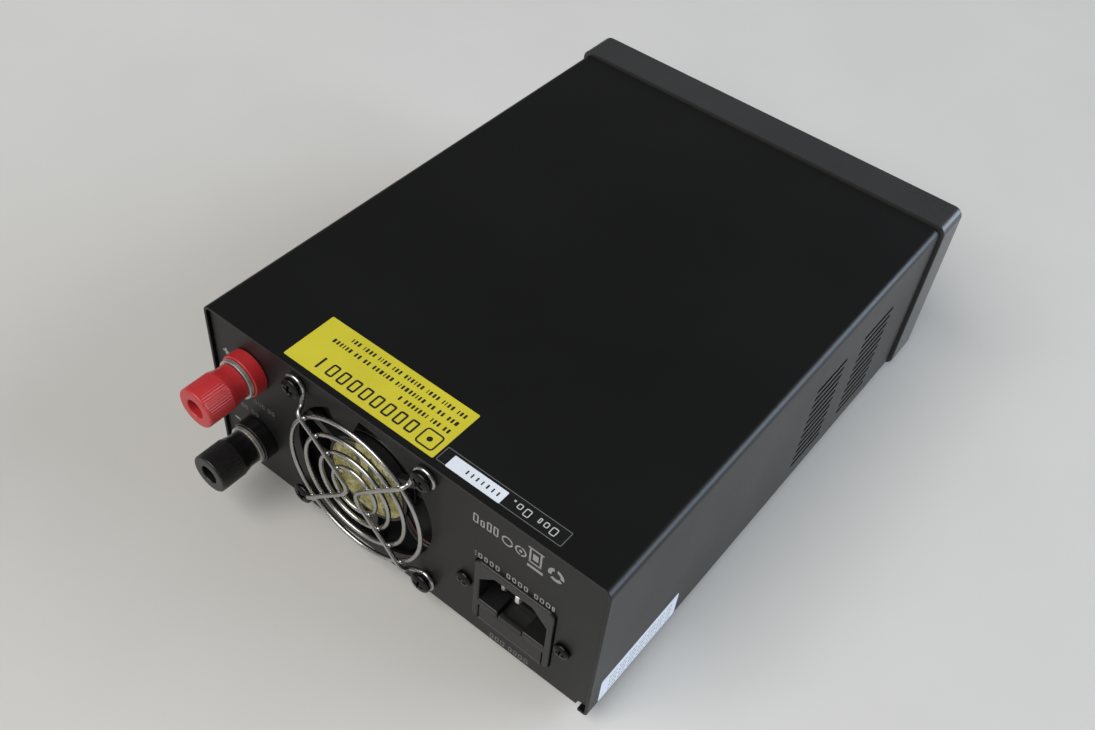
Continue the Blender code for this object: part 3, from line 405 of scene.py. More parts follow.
# ---------------------------------------------------------------- materials
class Tree:
    """A small builder of node materials. Coordinates are the object's own, in metres."""

    def __init__(self, name):
        self.material = bpy.data.materials.new(name)
        self.material.use_nodes = True
        self.tree = self.material.node_tree
        self.shader = next(n for n in self.tree.nodes if n.type == "BSDF_PRINCIPLED")
        self.coords = self.tree.nodes.new("ShaderNodeTexCoord").outputs["Object"]

    def node(self, kind, **inputs):
        n = self.tree.nodes.new(kind)
        for key, value in inputs.items():
            if hasattr(value, "is_linked"):
                self.tree.links.new(value, n.inputs[key])
            else:
                n.inputs[key].default_value = value
        return n

    def link(self, a, b):
        self.tree.links.new(a, b)

    def noise(self, scale, detail=2.0, rough=0.5, vector=None, w=None):
        n = self.node("ShaderNodeTexNoise", Vector=vector or self.coords, Scale=scale, Detail=detail, Roughness=rough)
        return n.outputs["Fac"]

    def scaled(self, x, y, z, shift=(0, 0, 0)):
        n = self.node("ShaderNodeMapping", Vector=self.coords)
        n.inputs["Scale"].default_value = (x, y, z)
        n.inputs["Location"].default_value = shift
        return n.outputs["Vector"]

    def ramp(self, fac, low, high, a=0.0, b=1.0):
        n = self.node("ShaderNodeMapRange", Value=fac)
        n.inputs["From Min"].default_value = low
        n.inputs["From Max"].default_value = high
        n.inputs["To Min"].default_value = a
        n.inputs["To Max"].default_value = b
        n.clamp = True
        return n.outputs["Result"]

    def math(self, op, a, b=0.0, c=0.0):
        n = self.tree.nodes.new("ShaderNodeMath")
        n.operation = op
        for i, v in enumerate((a, b, c)):
            if hasattr(v, "is_linked"):
                self.link(v, n.inputs[i])
            else:
                n.inputs[i].default_value = v
        return n.outputs[0]

    def mix(self, fac, a, b):
        n = self.tree.nodes.new("ShaderNodeMix")
        n.data_type = "RGBA"
        ins = [i for i in n.inputs if i.type == "RGBA"]
        if hasattr(fac, "is_linked"):
            self.link(fac, n.inputs[0])
        else:
            n.inputs[0].default_value = fac
        for socket, v in zip(ins, (a, b)):
            if hasattr(v, "is_linked"):
                self.link(v, socket)
            else:
                socket.default_value = (*v, 1.0) if len(v) == 3 else v
        return next(o for o in n.outputs if o.type == "RGBA")

    def bump(self, height, strength, distance, normal=None):
        n = self.node("ShaderNodeBump", Height=height, Strength=strength, Distance=distance)
        if normal is not None:
            self.link(normal, n.inputs["Normal"])
        return n.outputs["Normal"]

    def set(self, **inputs):
        names = {"color": "Base Color", "rough": "Roughness", "metal": "Metallic", "normal": "Normal", "ior": "IOR",
                 "coat": "Coat Weight", "coat_rough": "Coat Roughness", "alpha": "Alpha", "trans": "Transmission Weight",
                 "spec": "Specular IOR Level", "sheen": "Sheen Weight", "aniso": "Anisotropic"}
        for key, value in inputs.items():
            socket = self.shader.inputs[names[key]]
            if hasattr(value, "is_linked"):
                self.link(value, socket)
            elif key == "color":
                socket.default_value = (*value, 1.0)
            else:
                socket.default_value = value
        return self.material


def shade(c, k):
    return tuple(min(1.0, x * k) for x in c)


def coated_metal(name, color, rough=0.4, grain=0.00035, depth=0.00002, strength=0.35, spread=0.16, spec=0.5, dust=0.0):
    """Powder-coated or painted sheet: fine orange-peel, slow tone changes, a little dust."""
    t = Tree(name)
    slow = t.noise(18.0, 3.0, 0.6)
    fine = t.noise(1.0 / grain, 2.0, 0.55)
    tone = t.mix(t.ramp(slow, 0.3, 0.7), shade(color, 1 - spread), shade(color, 1 + spread))
    if dust:
        specks = t.node("ShaderNodeTexVoronoi", Vector=t.coords, Scale=55.0)
        spot = t.ramp(specks.outputs["Distance"], 0.012, 0.03, 1.0, 0.0)
        film = t.ramp(t.noise(45.0, 6.0, 0.7), 0.55, 0.8, 0.0, dust * 0.25)
        tone = t.mix(t.math("MAXIMUM", t.math("MULTIPLY", spot, dust), film), tone, (0.35, 0.34, 0.32))
    r = t.ramp(t.math("ADD", t.math("MULTIPLY", slow, 0.6), t.math("MULTIPLY", fine, 0.4)), 0.3, 0.7, rough - 0.05, rough + 0.06)
    n = t.bump(fine, strength, depth)
    n = t.bump(t.noise(600.0, 2.0), strength * 0.5, depth * 2, n)
    return t.set(color=tone, rough=r, normal=n, spec=spec)


def moulded(name, color, rough=0.45, grain=0.0006, depth=0.00003, strength=0.4, spread=0.12, spec=0.5, coat=0.0, sss=False):
    """Moulded plastic: spark-eroded grain and a slow gloss change."""
    t = Tree(name)
    slow = t.noise(25.0, 3.0, 0.55)
    fine = t.noise(1.0 / grain, 3.0, 0.6)
    tone = t.mix(t.ramp(slow, 0.3, 0.7), shade(color, 1 - spread), shade(color, 1 + spread))
    tone = t.mix(t.ramp(fine, 0.35, 0.75, 0.0, 0.25), tone, shade(color, 1.25))
    r = t.ramp(t.math("ADD", t.math("MULTIPLY", slow, 0.5), t.math("MULTIPLY", fine, 0.5)), 0.3, 0.7, rough - 0.06, rough + 0.07)
    m = t.set(color=tone, rough=r, normal=t.bump(fine, strength, depth), spec=spec)
    if coat:
        t.set(coat=coat, coat_rough=0.15)
    return m


def metal(name, color, rough=0.25, scale=(60, 60, 60), spread=0.1, strength=0.12, depth=0.00001, brushed=None, patina=None):
    """Bare or plated metal with drawing or turning marks and slight tarnish."""
    t = Tree(name)
    slow = t.noise(140.0, 4.0, 0.6)
    lines = t.noise(900.0, 2.0, 0.5, vector=t.scaled(*(brushed or (1, 1, 1))))
    tone = t.mix(t.ramp(slow, 0.3, 0.7), shade(color, 1 - spread), shade(color, 1 + spread))
    if patina:
        tone = t.mix(t.ramp(t.noise(220.0, 5.0, 0.7), 0.55, 0.75, 0.0, 0.5), tone, patina)
    r = t.ramp(t.math("ADD", t.math("MULTIPLY", slow, 0.5), t.math("MULTIPLY", lines, 0.5)), 0.3, 0.7, max(0.04, rough - 0.07), rough + 0.08)
    return t.set(color=tone, rough=r, metal=1.0, normal=t.bump(lines, strength, depth))


def sticker(name, color, rough=0.35, spread=0.05):
    t = Tree(name)
    slow = t.noise(60.0, 3.0)
    tone = t.mix(t.ramp(slow, 0.3, 0.7), shade(color, 1 - spread), shade(color, 1 + spread))
    return t.set(color=tone, rough=t.ramp(t.noise(400.0), 0.3, 0.7, rough - 0.05, rough + 0.08), normal=t.bump(t.noise(500.0), 0.08, 0.00002))


COVER = coated_metal("cover_powder_coat", (0.0034, 0.0034, 0.0034), rough=0.39, spec=0.36, spread=0.10)
PANEL = coated_metal("panel_powder_coat", (0.0080, 0.0080, 0.0082), rough=0.46, spec=0.34, grain=0.00045, strength=0.5, spread=0.1)
BEZEL = moulded("bezel_moulding", (0.031, 0.032, 0.032), rough=0.3, grain=0.0007, strength=0.15)
FASCIA = moulded("fascia_moulding", (0.02, 0.02, 0.021), rough=0.42, grain=0.0005, strength=0.3)
RUBBER = moulded("foot_rubber_finish", (0.012, 0.012, 0.012), rough=0.78, grain=0.0008, strength=0.6, depth=0.00006)
FAN_BLACK = moulded("fan_moulding", (0.014, 0.014, 0.015), rough=0.38, grain=0.0009, strength=0.25)
INLET_BLACK = moulded("inlet_moulding", (0.0115, 0.0115, 0.012), rough=0.4, grain=0.0006, strength=0.3)
# A darker, rougher copy of the inlet moulding: painted shade for the walls and floor of the socket recess and the fuse
# bay.
INLET_RECESS_PAINTED_SHADE = moulded("inlet_recess_painted_shade", (0.0045, 0.0045, 0.0048), rough=0.55, grain=0.0006, strength=0.3, spec=0.3)
DRAWER_BLACK = moulded("drawer_moulding", (0.0125, 0.0125, 0.013), rough=0.45, grain=0.0005, strength=0.3)
SCREW_BLACK = metal("black_oxide", (0.03, 0.03, 0.031), rough=0.32, spread=0.25, strength=0.2, depth=0.00002)
CHROME = metal("guard_nickel", (0.44, 0.44, 0.43), rough=0.28, spread=0.08, brushed=(1, 1, 1), strength=0.15, patina=(0.45, 0.42, 0.36))
NICKEL = metal("nickel_plate", (0.82, 0.81, 0.78), rough=0.38, spread=0.1, strength=0.25, depth=0.00002)
WASHER = metal("turned_nickel", (0.66, 0.65, 0.62), rough=0.48, spread=0.1, strength=0.4, depth=0.00002, patina=(0.45, 0.42, 0.38))
BRASS = metal("stud_plating", (0.76, 0.66, 0.42), rough=0.24, spread=0.12, strength=0.2, depth=0.00002)
RED = moulded("red_terminal_moulding", (0.47, 0.022, 0.026), rough=0.4, grain=0.0012, strength=0.12, spread=0.05, coat=0.2)
BLACK_TERMINAL = moulded("black_terminal_moulding", (0.005, 0.005, 0.0053), rough=0.36, spec=0.36, grain=0.0012, strength=0.12, coat=0.2)
KNOB = moulded("knob_moulding", (0.013, 0.013, 0.014), rough=0.42, grain=0.0005, strength=0.35)
SWITCH = moulded("switch_moulding", (0.014, 0.014, 0.015), rough=0.3, grain=0.0007, strength=0.15)
WHITE_PRINT = sticker("light_print", (0.46, 0.46, 0.45), rough=0.5)
GREY_PRINT = sticker("grey_print", (0.17, 0.17, 0.17), rough=0.5)
LABEL_INK = sticker("label_ink", (0.30, 0.31, 0.33), rough=0.5)
GREY_LIGHT = sticker("panel_print", (0.30, 0.30, 0.295), rough=0.55)
GREY_DIM = sticker("panel_print_worn", (0.14, 0.14, 0.14), rough=0.55)
WHITE_LABEL = sticker("white_label_stock", (0.70, 0.74, 0.80), rough=0.4)
YELLOW_LABEL = sticker("yellow_label_stock", (0.565, 0.50, 0.03), rough=0.42)
BLACK_LABEL = sticker("black_label_stock", (0.006, 0.006, 0.006), rough=0.3)
BLACK_INK = sticker("black_ink", (0.012, 0.012, 0.01), rough=0.42)


def laminate():
    t = Tree("board_laminate_finish")
    weave = t.node("ShaderNodeTexBrick", Vector=t.coords, Scale=900.0)
    weave.inputs["Color1"].default_value = (0.012, 0.10, 0.035, 1)
    weave.inputs["Color2"].default_value = (0.016, 0.13, 0.045, 1)
    weave.inputs["Mortar"].default_value = (0.01, 0.07, 0.025, 1)
    tracks = t.node("ShaderNodeTexVoronoi", Vector=t.scaled(1, 1, 0.01), Scale=160.0)
    tracks.distance = "MANHATTAN"
    lift = t.ramp(tracks.outputs["Distance"], 0.25, 0.32)
    tone = t.mix(t.math("MULTIPLY", lift, 0.6), weave.outputs["Color"], (0.03, 0.22, 0.09))
    return t.set(color=tone, rough=t.ramp(t.noise(300.0), 0.3, 0.7, 0.28, 0.42), normal=t.bump(lift, 0.25, 0.00003))


def wound(name, color, axis_scale, rough=0.3):
    """Enamelled copper turns: bands across the winding with a varnish gloss."""
    t = Tree(name)
    wave = t.node("ShaderNodeTexWave", Vector=t.coords, Scale=axis_scale, Distortion=1.5)
    wave.inputs["Detail"].default_value = 1.0
    tone = t.mix(wave.outputs["Fac"], shade(color, 0.45), shade(color, 1.15))
    return t.set(color=tone, rough=t.ramp(t.noise(200.0), 0.3, 0.7, rough - 0.05, rough + 0.1), metal=0.85, normal=t.bump(wave.outputs["Fac"], 0.7, 0.0002))


def glassy(name, color, alpha, rough=0.05):
    t = Tree(name)
    tone = t.mix(t.ramp(t.noise(120.0, 3.0), 0.3, 0.7), shade(color, 0.92), shade(color, 1.06))
    return t.set(color=tone, rough=t.ramp(t.noise(60.0, 4.0), 0.3, 0.7, rough, rough + 0.05), alpha=alpha)


BOARD = laminate()
FERRITE = coated_metal("ferrite_core", (0.03, 0.03, 0.032), rough=0.62, grain=0.0009, strength=0.6)
SLEEVE = moulded("capacitor_sleeve_finish", (0.012, 0.016, 0.05), rough=0.3, grain=0.002, strength=0.1)
ALUMINIUM = metal("extruded_aluminium", (0.74, 0.75, 0.76), rough=0.36, brushed=(6, 0.15, 6), strength=0.25, depth=0.00002)
COPPER_WIRE = wound("enamelled_copper", (0.66, 0.27, 0.12), 220.0)
COPPER_BAR = metal("copper_bar", (0.78, 0.38, 0.22), rough=0.32, brushed=(6, 0.2, 6), strength=0.25, patina=(0.3, 0.13, 0.08))
FUSE_GLASS = glassy("fuse_glass_finish", (0.75, 0.78, 0.78), 0.35)
LENS = glassy("smoked_lens", (0.03, 0.006, 0.006), 0.72)
MODULE = moulded("module_moulding", (0.02, 0.02, 0.02), rough=0.6)
LED_GREEN = moulded("led_lens_finish", (0.03, 0.42, 0.10), rough=0.12, grain=0.003, strength=0.02)

# A first finish for every CAD node; the shown ones get finer pieces below.
NODE_FINISH = {
    "bottom_chassis": PANEL, "top_cover": COVER, "front_bezel": BEZEL, "front_fascia": FASCIA, "fan_frame": FAN_BLACK,
    "fan_rotor": FAN_BLACK, "fan_guard": CHROME, "inlet_housing": INLET_BLACK, "fuse_drawer": DRAWER_BLACK, "mains_fuse": FUSE_GLASS,
    "positive_post_base": RED, "positive_post_cap": RED, "negative_post_base": BLACK_TERMINAL, "negative_post_cap": BLACK_TERMINAL,
    "positive_post_stud": BRASS, "negative_post_stud": BRASS, "positive_post_nut": NICKEL, "negative_post_nut": NICKEL,
    "positive_post_washer": WASHER, "negative_post_washer": WASHER, "inlet_pin_line": NICKEL, "inlet_pin_neutral": NICKEL,
    "inlet_pin_earth": NICKEL, "main_circuit_board": BOARD, "control_board": BOARD, "transformer": FERRITE,
    "bulk_capacitor_1": SLEEVE, "bulk_capacitor_2": SLEEVE, "output_capacitor": SLEEVE, "primary_heatsink": ALUMINIUM,
    "secondary_heatsink": ALUMINIUM, "output_choke": COPPER_WIRE, "mains_filter_choke": COPPER_WIRE, "positive_busbar": COPPER_BAR,
    "negative_busbar": COPPER_BAR, "display_window": LENS, "display_module": MODULE, "voltage_potentiometer": NICKEL,
    "current_potentiometer": NICKEL, "voltage_shaft": NICKEL, "current_shaft": NICKEL, "voltage_knob": KNOB, "current_knob": KNOB,
    "power_switch_body": SWITCH, "power_rocker": SWITCH, "status_led": LED_GREEN,
}
for name, obj in NODES.items():
    finish = NODE_FINISH.get(name) or (RUBBER if name.startswith("rubber_foot") else SCREW_BLACK)
    obj.data.materials.clear()
    obj.data.materials.append(finish)


# ---------------------------------------------------------------- stage, light and camera
def add_area(name, direction, distance, size, power, color, target=(0, 0, 30)):
    data = bpy.data.lights.new(name, "AREA")
    data.shape = "RECTANGLE"
    data.size, data.size_y = size
    data.energy = power
    data.color = color
    lamp = link(bpy.data.objects.new(name, data))
    d = Vector(direction).normalized()
    lamp.location = P(*target) + d * distance
    lamp.rotation_mode = "QUATERNION"
    lamp.rotation_quaternion = (-d).to_track_quat("-Z", "Y")
    return lamp


def stage():
    t = Tree("pale_table")
    tone = t.mix(t.ramp(t.noise(9.0, 4.0, 0.6), 0.3, 0.7), (0.60, 0.595, 0.575), (0.63, 0.625, 0.605))
    marks = t.ramp(t.noise(70.0, 8.0, 0.75), 0.66, 0.78, 0.0, 0.25)
    tone = t.mix(marks, tone, (0.45, 0.44, 0.42))
    t.set(color=tone, rough=0.62, normal=t.bump(t.noise(250.0, 5.0), 0.04, 0.0002))
    bm = bmesh.new()
    z = CAD_BOX[0].z
    corners = [bm.verts.new((x, y, z)) for x, y in ((-6, -6), (6, -6), (6, 6), (-6, 6))]
    bm.faces.new(corners)
    mesh = bpy.data.meshes.new("table")
    bm.to_mesh(mesh)
    bm.free()
    table = link(bpy.data.objects.new("table", mesh))
    mesh.materials.append(t.material)


stage()
add_area("window", (-0.76, -0.56, 0.40), 4.5, (4.2, 2.4), 186.0, (0.82, 0.90, 1.0))
add_area("low_sky", (-0.70, -0.70, 0.13), 4.5, (4.5, 0.8), 42.0, (0.34, 0.58, 1.0))
add_area("room_fill", (0.15, 0.72, 0.90), 3.4, (3.0, 2.2), 108.0, (1.0, 0.97, 0.93))
world = bpy.data.worlds.new("room")
bpy.context.scene.world = world
world.use_nodes = True
background = next(n for n in world.node_tree.nodes if n.type == "BACKGROUND")
background.inputs["Color"].default_value = (0.95, 0.97, 1.0, 1.0)
background.inputs["Strength"].default_value = 0.15

camera_data = bpy.data.cameras.new("camera")
camera_data.sensor_fit = "HORIZONTAL"
camera_data.sensor_width = 36.0
camera_data.lens = 38.86
camera_data.clip_start = 0.01
camera = link(bpy.data.objects.new("camera", camera_data))
right = Vector((-0.78133565, -0.61912485, 0.07873382))
up = Vector((0.49692756, -0.54081779, 0.67865979))
back = Vector((-0.3775945, 0.5693861, 0.73022042))
camera.matrix_world = Matrix((
    (right.x, up.x, back.x, 0), (right.y, up.y, back.y, 0), (right.z, up.z, back.z, 0), (0, 0, 0, 1)))
camera.location = P(-144.17, 238.80, 314.01)
bpy.context.scene.camera = camera
bpy.context.scene.view_settings.view_transform = "Standard"

# ---------------------------------------------------------------- shared shapes
FACE_Y = 93.0                               # outside face of the rear panel
RNG = random.Random(7)


def weighted(obj):
    step = obj.modifiers.new("even_shading", "WEIGHTED_NORMAL")
    step.keep_sharp = True
    return obj


def facing_rear(u, v, w):
    return (u, w, v)


def facing_up(u, v, w):
    return (u, v, w)


def facing_side(u, v, w):
    return (-w, u, v)


def rr(half_x, z0, z1, r, steps=6):
    return rounded_poly(rect(-half_x, z0, half_x, z1), r, steps)


def round_levels(edge, r, out, n=4):
    """Depth and inset pairs that round a rim of a plate over, ending on its face. out is +1 or -1."""
    made = []
    for k in range(n + 1):
        a = math.radians(90.0 * k / n)
        made.append((edge - out * r * (1 - math.sin(a)), r * (1 - math.cos(a))))
    return made


def layered(bm, outer, holes, levels, to=facing_rear, material=0):
    """A plate with holes whose rims follow levels of (depth, inset)."""
    loops = [ccw(list(outer), True)] + [ccw(list(h), False) for h in holes]
    made = [[[bm.verts.new(P(*to(u, v, w))) for u, v in (offset_loop(loop, d) if d else loop)] for loop in loops] for w, d in levels]
    for a, b in zip(made, made[1:]):
        for ra, rb in zip(a, b):
            n = len(ra)
            for i in range(n):
                j = (i + 1) % n
                bm.faces.new((ra[i], ra[j], rb[j], rb[i])).material_index = material
    for rings in (made[0], made[-1]):
        edges = [bm.edges.get((ring[i], ring[(i + 1) % len(ring)])) for ring in rings for i in range(len(ring))]
        filled = bmesh.ops.triangle_fill(bm, use_beauty=True, use_dissolve=False, edges=edges)
        for g in filled["geom"]:
            if isinstance(g, bmesh.types.BMFace):
                g.material_index = material


def prism(bm, outline, to, w0, w1, material=0, chamfer=0.0):
    outline = ccw(list(outline))
    levels = [(w0, 0.0)] + ([(w1 - chamfer, 0.0), (w1, chamfer)] if chamfer else [(w1, 0.0)])
    loft_rings(bm, [[to(u, v, w) for u, v in (offset_loop(outline, d) if d else outline)] for w, d in levels], material=material)


def marks(name, shapes, to, w0, w1, mats, body, slot, material_of=None):
    """Thin printed shapes. shapes holds outlines, each on its own or with a material number."""
    bm = bmesh.new()
    for shape in shapes:
        outline, number = shape if isinstance(shape, tuple) and isinstance(shape[1], int) else (shape, 0)
        prism(bm, outline, to, w0, w1, number)
    return put(from_bm(name, bm, mats, smooth=None), body, slot=slot)


def bars(u0, u1, v0, v1, widths, gap, r=0.15):
    """A row of small upright blocks from u0 towards u1 that stands for a line of printing."""
    out, u, k = [], u0, 0
    sign = 1 if u1 > u0 else -1
    while True:
        w = widths[k % len(widths)]
        if w < 0:
            u += sign * -w
            k += 1
            continue
        if (u + sign * w - u1) * sign > 0:
            return out
        a, b = sorted((u, u + sign * w))
        out.append(rounded_poly(rect(a, v0, b, v1), min(r, (b - a) * 0.4, (v1 - v0) * 0.4), 2))
        u += sign * (w + gap)
        k += 1


def turned(name, profile, at, axis, mats, body, *nodes, slot=None, steps=64, closed=False, smooth=32.0, ribs=0, more=None):
    """A turned piece. A third number in a profile row is the depth of its lengthwise ribs."""
    bm = bmesh.new()
    turn_into(bm, profile, at, axis, steps, closed, ribs)
    if more:
        more(bm)
    return put(weighted(from_bm(name, bm, mats, smooth)), body, *nodes, slot=slot)


def turn_into(bm, profile, at, axis, steps=64, closed=False, ribs=0, material=0):
    ax = Vector(axis).normalized()
    side = ax.orthogonal().normalized()
    other = ax.cross(side)
    rows = []
    for row in profile:
        r, h = row[0], row[1]
        deep = row[2] if len(row) > 2 else 0.0
        c = Vector(at) + ax * h
        if r < 1e-6:
            rows.append([bm.verts.new(P(*c))])
            continue
        ring = []
        for i in range(steps):
            t = math.tau * i / steps
            here = r - deep * (0.5 + 0.5 * math.cos(ribs * t)) ** 1.6 if deep else r
            ring.append(bm.verts.new(P(*(c + (side * math.cos(t) + other * math.sin(t)) * here))))
        rows.append(ring)
    pairs = list(zip(rows, rows[1:]))
    if closed:
        pairs.append((rows[-1], rows[0]))
    for a, b in pairs:
        for i in range(steps):
            j = (i + 1) % steps
            if len(a) == 1 and len(b) == 1:
                continue
            if len(a) == 1:
                f = bm.faces.new((a[0], b[j], b[i]))
            elif len(b) == 1:
                f = bm.faces.new((a[i], a[j], b[0]))
            else:
                f = bm.faces.new((a[i], a[j], b[j], b[i]))
            f.material_index = material


def cutter_box(bm, lo, hi):
    add_box(bm, lo, hi)


def carve(obj, build, name, operation="DIFFERENCE", smooth=32.0):
    """build(bm) adds closed cutters; the cut is applied and the shading redone."""
    obj.modifiers.clear()
    bm = bmesh.new()
    build(bm)
    bmesh.ops.recalc_face_normals(bm, faces=bm.faces)
    boolean(obj, bm, name, operation)
    return weighted(clean(obj, smooth))


# ---------------------------------------------------------------- cover
W2, H = CASE_W / 2, CASE_H
TIP = W2 - 3.4
cover_outer = rounded_poly([(-W2, 0), (-W2, H), (W2, H), (W2, 0)], [1.4, 2.6, 2.6, 1.4], 9)
cover_inner = [(TIP, 0), (TIP, 1.0)] + rounded_poly(
    [(W2 - 1, 1.0), (W2 - 1, H - 1), (-W2 + 1, H - 1), (-W2 + 1, 1.0)], [0.4, 1.6, 1.6, 0.4], 9) + [(-TIP, 1.0), (-TIP, 0)]
bm = bmesh.new()
layered(bm, cover_outer + cover_inner, [], [(-94.1, 0.15), (-93.95, 0.0), (93.95, 0.0), (94.1, 0.15)])
cover = from_bm("cover_sheet", bm, COVER)


def cover_tabs(bm):
    for side in (-1, 1):
        for y in (-62, 62):
            xs = sorted((side * (W2 - 8.4), side * (TIP + 0.8)))
            prism(bm, rounded_poly(rect(xs[0], y - 7, xs[1], y + 7), 0.6, 3), facing_up, 0.0, 1.0)


def cover_openings(bm):
    for y0, y1 in ((-70.2, -49.5), (-37.7, -18.0)):
        for row in range(11):
            z = 9.0 + 3.7 * row
            prism(bm, rounded_poly(rect(y0, z - 0.85, y1, z + 0.85), 0.8, 5), lambda u, v, w: (w, u, v), -78.0, 78.0)
    for side in (-1, 1):
        for y in (-62, 62):
            prism(bm, ring_of(side * 70.2, y, 1.85, 24), facing_up, -1.0, 1.6)


carve(cover, cover_tabs, "cover_tabs", "UNION")
carve(cover, cover_openings, "cover_openings")
put(cover, "chassis", "top_cover", slot="cover_coat")

# ---------------------------------------------------------------- tray and rear panel
FAN = (12.2, 32.3)
INLET = (-45.6, 22.8)
rear_outline = [(-70.6, 0.5), (70.6, 0.5), (70.6, 2.8), (73.95, 3.3), (73.95, 61.7), (72.35, 63.3), (-72.35, 63.3), (-73.95, 61.7), (-73.95, 3.3), (-70.6, 2.8)]
rear_outline = rounded_poly(rear_outline, 0.25, 2)
opening = [(FAN[0] + 27.0 * math.cos(math.radians(a)), FAN[1] + 27.0 * math.sin(math.radians(a))) for a in [88.5 + 333.0 * i / 110 for i in range(111)]]
opening += [(23.4, 52.7), (15.4, 52.9)]
rear_holes = [opening]
for sx in (-1, 1):
    for sz in (-1, 1):
        rear_holes.append(ring_of(FAN[0] + sx * 25, FAN[1] + sz * 25, 2.3, 24))
    rear_holes.append(ring_of(INLET[0] + sx * 17.85, INLET[1], 1.8, 24))
rear_holes.append(rounded_poly(rect(INLET[0] - 14.5, INLET[1] - 14.85, INLET[0] + 14.5, INLET[1] + 14.85), 2.6, 8))
for z in (48.0, 17.0):
    rear_holes.append(ring_of(58.0, z, 4.9, 40))
bm = bmesh.new()
layered(bm, rear_outline, rear_holes, [(91.8, 0.0)] + round_levels(FACE_Y, 0.14, 1, 2))
put(weighted(from_bm("rear_panel", bm, PANEL)), "chassis", "bottom_chassis", slot="panel_coat")

bm = bmesh.new()
add_box(bm, (-65.6, -92.6, 0.6), (65.6, 91.85, 1.8))
tray = from_bm("chassis_tray", bm, PANEL)


def tray_parts(bm):
    for side in (-1, 1):
        xs = sorted((side * 64.6, side * 73.95))
        prism(bm, rounded_poly(rect(xs[0], -91.6, xs[1], 90.0), 0.5, 3), facing_up, 1.3, 2.5)
    prism(bm, rounded_poly(rect(-64.0, 0.7, 64.0, 16.0), [0.0, 0.0, 1.5, 1.5], 4), facing_rear, -92.5, -91.3)


def tray_bosses(bm):
    for x, y in ((-60, -76), (60, -76), (-60, 50), (40, 50)):
        turn_into(bm, [(0, 1.0), (4.2, 1.0), (3.9, 2.1), (3.0, 3.0), (3.0, 7.8), (2.9, 7.9), (0, 7.9)], (x, y, 0), (0, 0, 1), 32)


def tray_holes(bm):
    for side in (-1, 1):
        for y in (-62, 62):
            prism(bm, ring_of(side * 70.2, y, 1.85, 24), facing_up, -1.0, 4.0)


carve(tray, tray_parts, "tray_parts", "UNION")
carve(tray, tray_bosses, "tray_bosses", "UNION")
carve(tray, tray_holes, "tray_holes")
put(tray, "chassis", "bottom_chassis", slot="panel_coat")

# ---------------------------------------------------------------- bezel
path = [(70.7, 4.7, 59.9, 1.2, -108.7), (70.95, 4.45, 60.15, 1.35, -109.05), (71.4, 4.0, 60.6, 1.6, -109.2)]
for k in range(6):
    a = math.radians(90.0 * k / 5)
    d = 1.2 * (1 - math.sin(a))
    path.append((76.7 - d, -1.3 + d, 65.9 - d, 3.4 - d * 0.8, -109.2 + 1.2 * (1 - math.cos(a))))
path += [(76.7, -1.3, 65.9, 3.4, -94.8), (76.55, -1.15, 65.75, 3.3, -94.5), (76.3, -0.9, 65.5, 3.1, -94.4),
         (73.9, 2.9, 63.25, 1.6, -94.4), (73.9, 2.9, 63.25, 1.6, -88.8), (73.6, 3.2, 62.95, 1.5, -88.5),
         (72.1, 4.7, 61.45, 0.6, -88.5), (71.9, 4.9, 61.25, 0.5, -88.8), (71.9, 4.9, 61.25, 0.5, -97.0), (73.5, 1.9, 62.7, 0.5, -97.0),
         (73.5, 1.9, 62.7, 0.5, -102.0), (70.7, 4.7, 59.9, 0.5, -102.0), (70.7, 4.7, 59.9, 0.5, -104.1), (73.5, 1.9, 62.7, 0.5, -104.1),
         (73.5, 1.9, 62.7, 0.5, -107.2), (70.7, 4.7, 59.9, 0.6, -107.2)]
bm = bmesh.new()
loft_rings(bm, [[(u, y, v) for u, v in rr(hx, z0, z1, r, 8)] for hx, z0, z1, r, y in path], closed_path=True)
bezel = from_bm("bezel_frame", bm, BEZEL)
carve(bezel, lambda bm: add_box(bm, (-66.0, -94.1, 0.0), (66.0, -87.0, 17.0)), "lip_room")
put(bezel, "chassis", "front_bezel", slot="bezel_plastic")

# ---------------------------------------------------------------- fascia, display, light
FRONT = -106.9
KNOB_AT = {"voltage": 25.0, "current": 56.0}
window = rounded_poly(rect(-66.0, 30.5, 0.0, 56.0), 0.8, 4)
seat = rounded_poly(rect(-64.5, 32.0, -1.5, 54.5), 1.0, 4)
others = [rect(-64.9, 7.5, -51.1, 27.7), ring_of(-38.0, 17.6, 1.8, 24)] + [ring_of(x, 33.0, 3.9, 40) for x in KNOB_AT.values()]
bm = bmesh.new()
layered(bm, rr(73.2, 2.2, 62.4, 1.0, 5), [window] + others, [(FRONT, 0.15), (FRONT + 0.15, 0.0), (-105.6, 0.0)])
layered(bm, rr(73.2, 2.2, 62.4, 1.0, 5), [seat] + others, [(-105.62, 0.0), (-104.4, 0.0)])
put(weighted(from_bm("fascia_plate", bm, FASCIA)), "chassis", "front_fascia", slot="fascia_plastic")

shapes = []
for x in KNOB_AT.values():
    for k in range(11):
        a = math.radians(-150 + 30 * k)
        r1 = 15.6 if k in (0, 5, 10) else 14.8
        d = Vector((math.sin(a), math.cos(a)))
        n = Vector((d.y, -d.x)) * 0.22
        c0, c1 = Vector((x, 33.0)) + d * 12.9, Vector((x, 33.0)) + d * r1
        shapes.append([tuple(c0 + n), tuple(c1 + n), tuple(c1 - n), tuple(c0 - n)])
    shapes += bars(x - 5.0, x + 5.2, 13.6, 15.0, (1.0, 0.7, 1.2, 0.8), 0.4)
shapes += bars(-42.0, -33.5, 11.2, 12.3, (0.9, 0.6, 0.8), 0.35)
marks("fascia_marks", shapes, facing_rear, FRONT - 0.03, FRONT + 0.05, WHITE_PRINT, "chassis", "fascia_plastic")

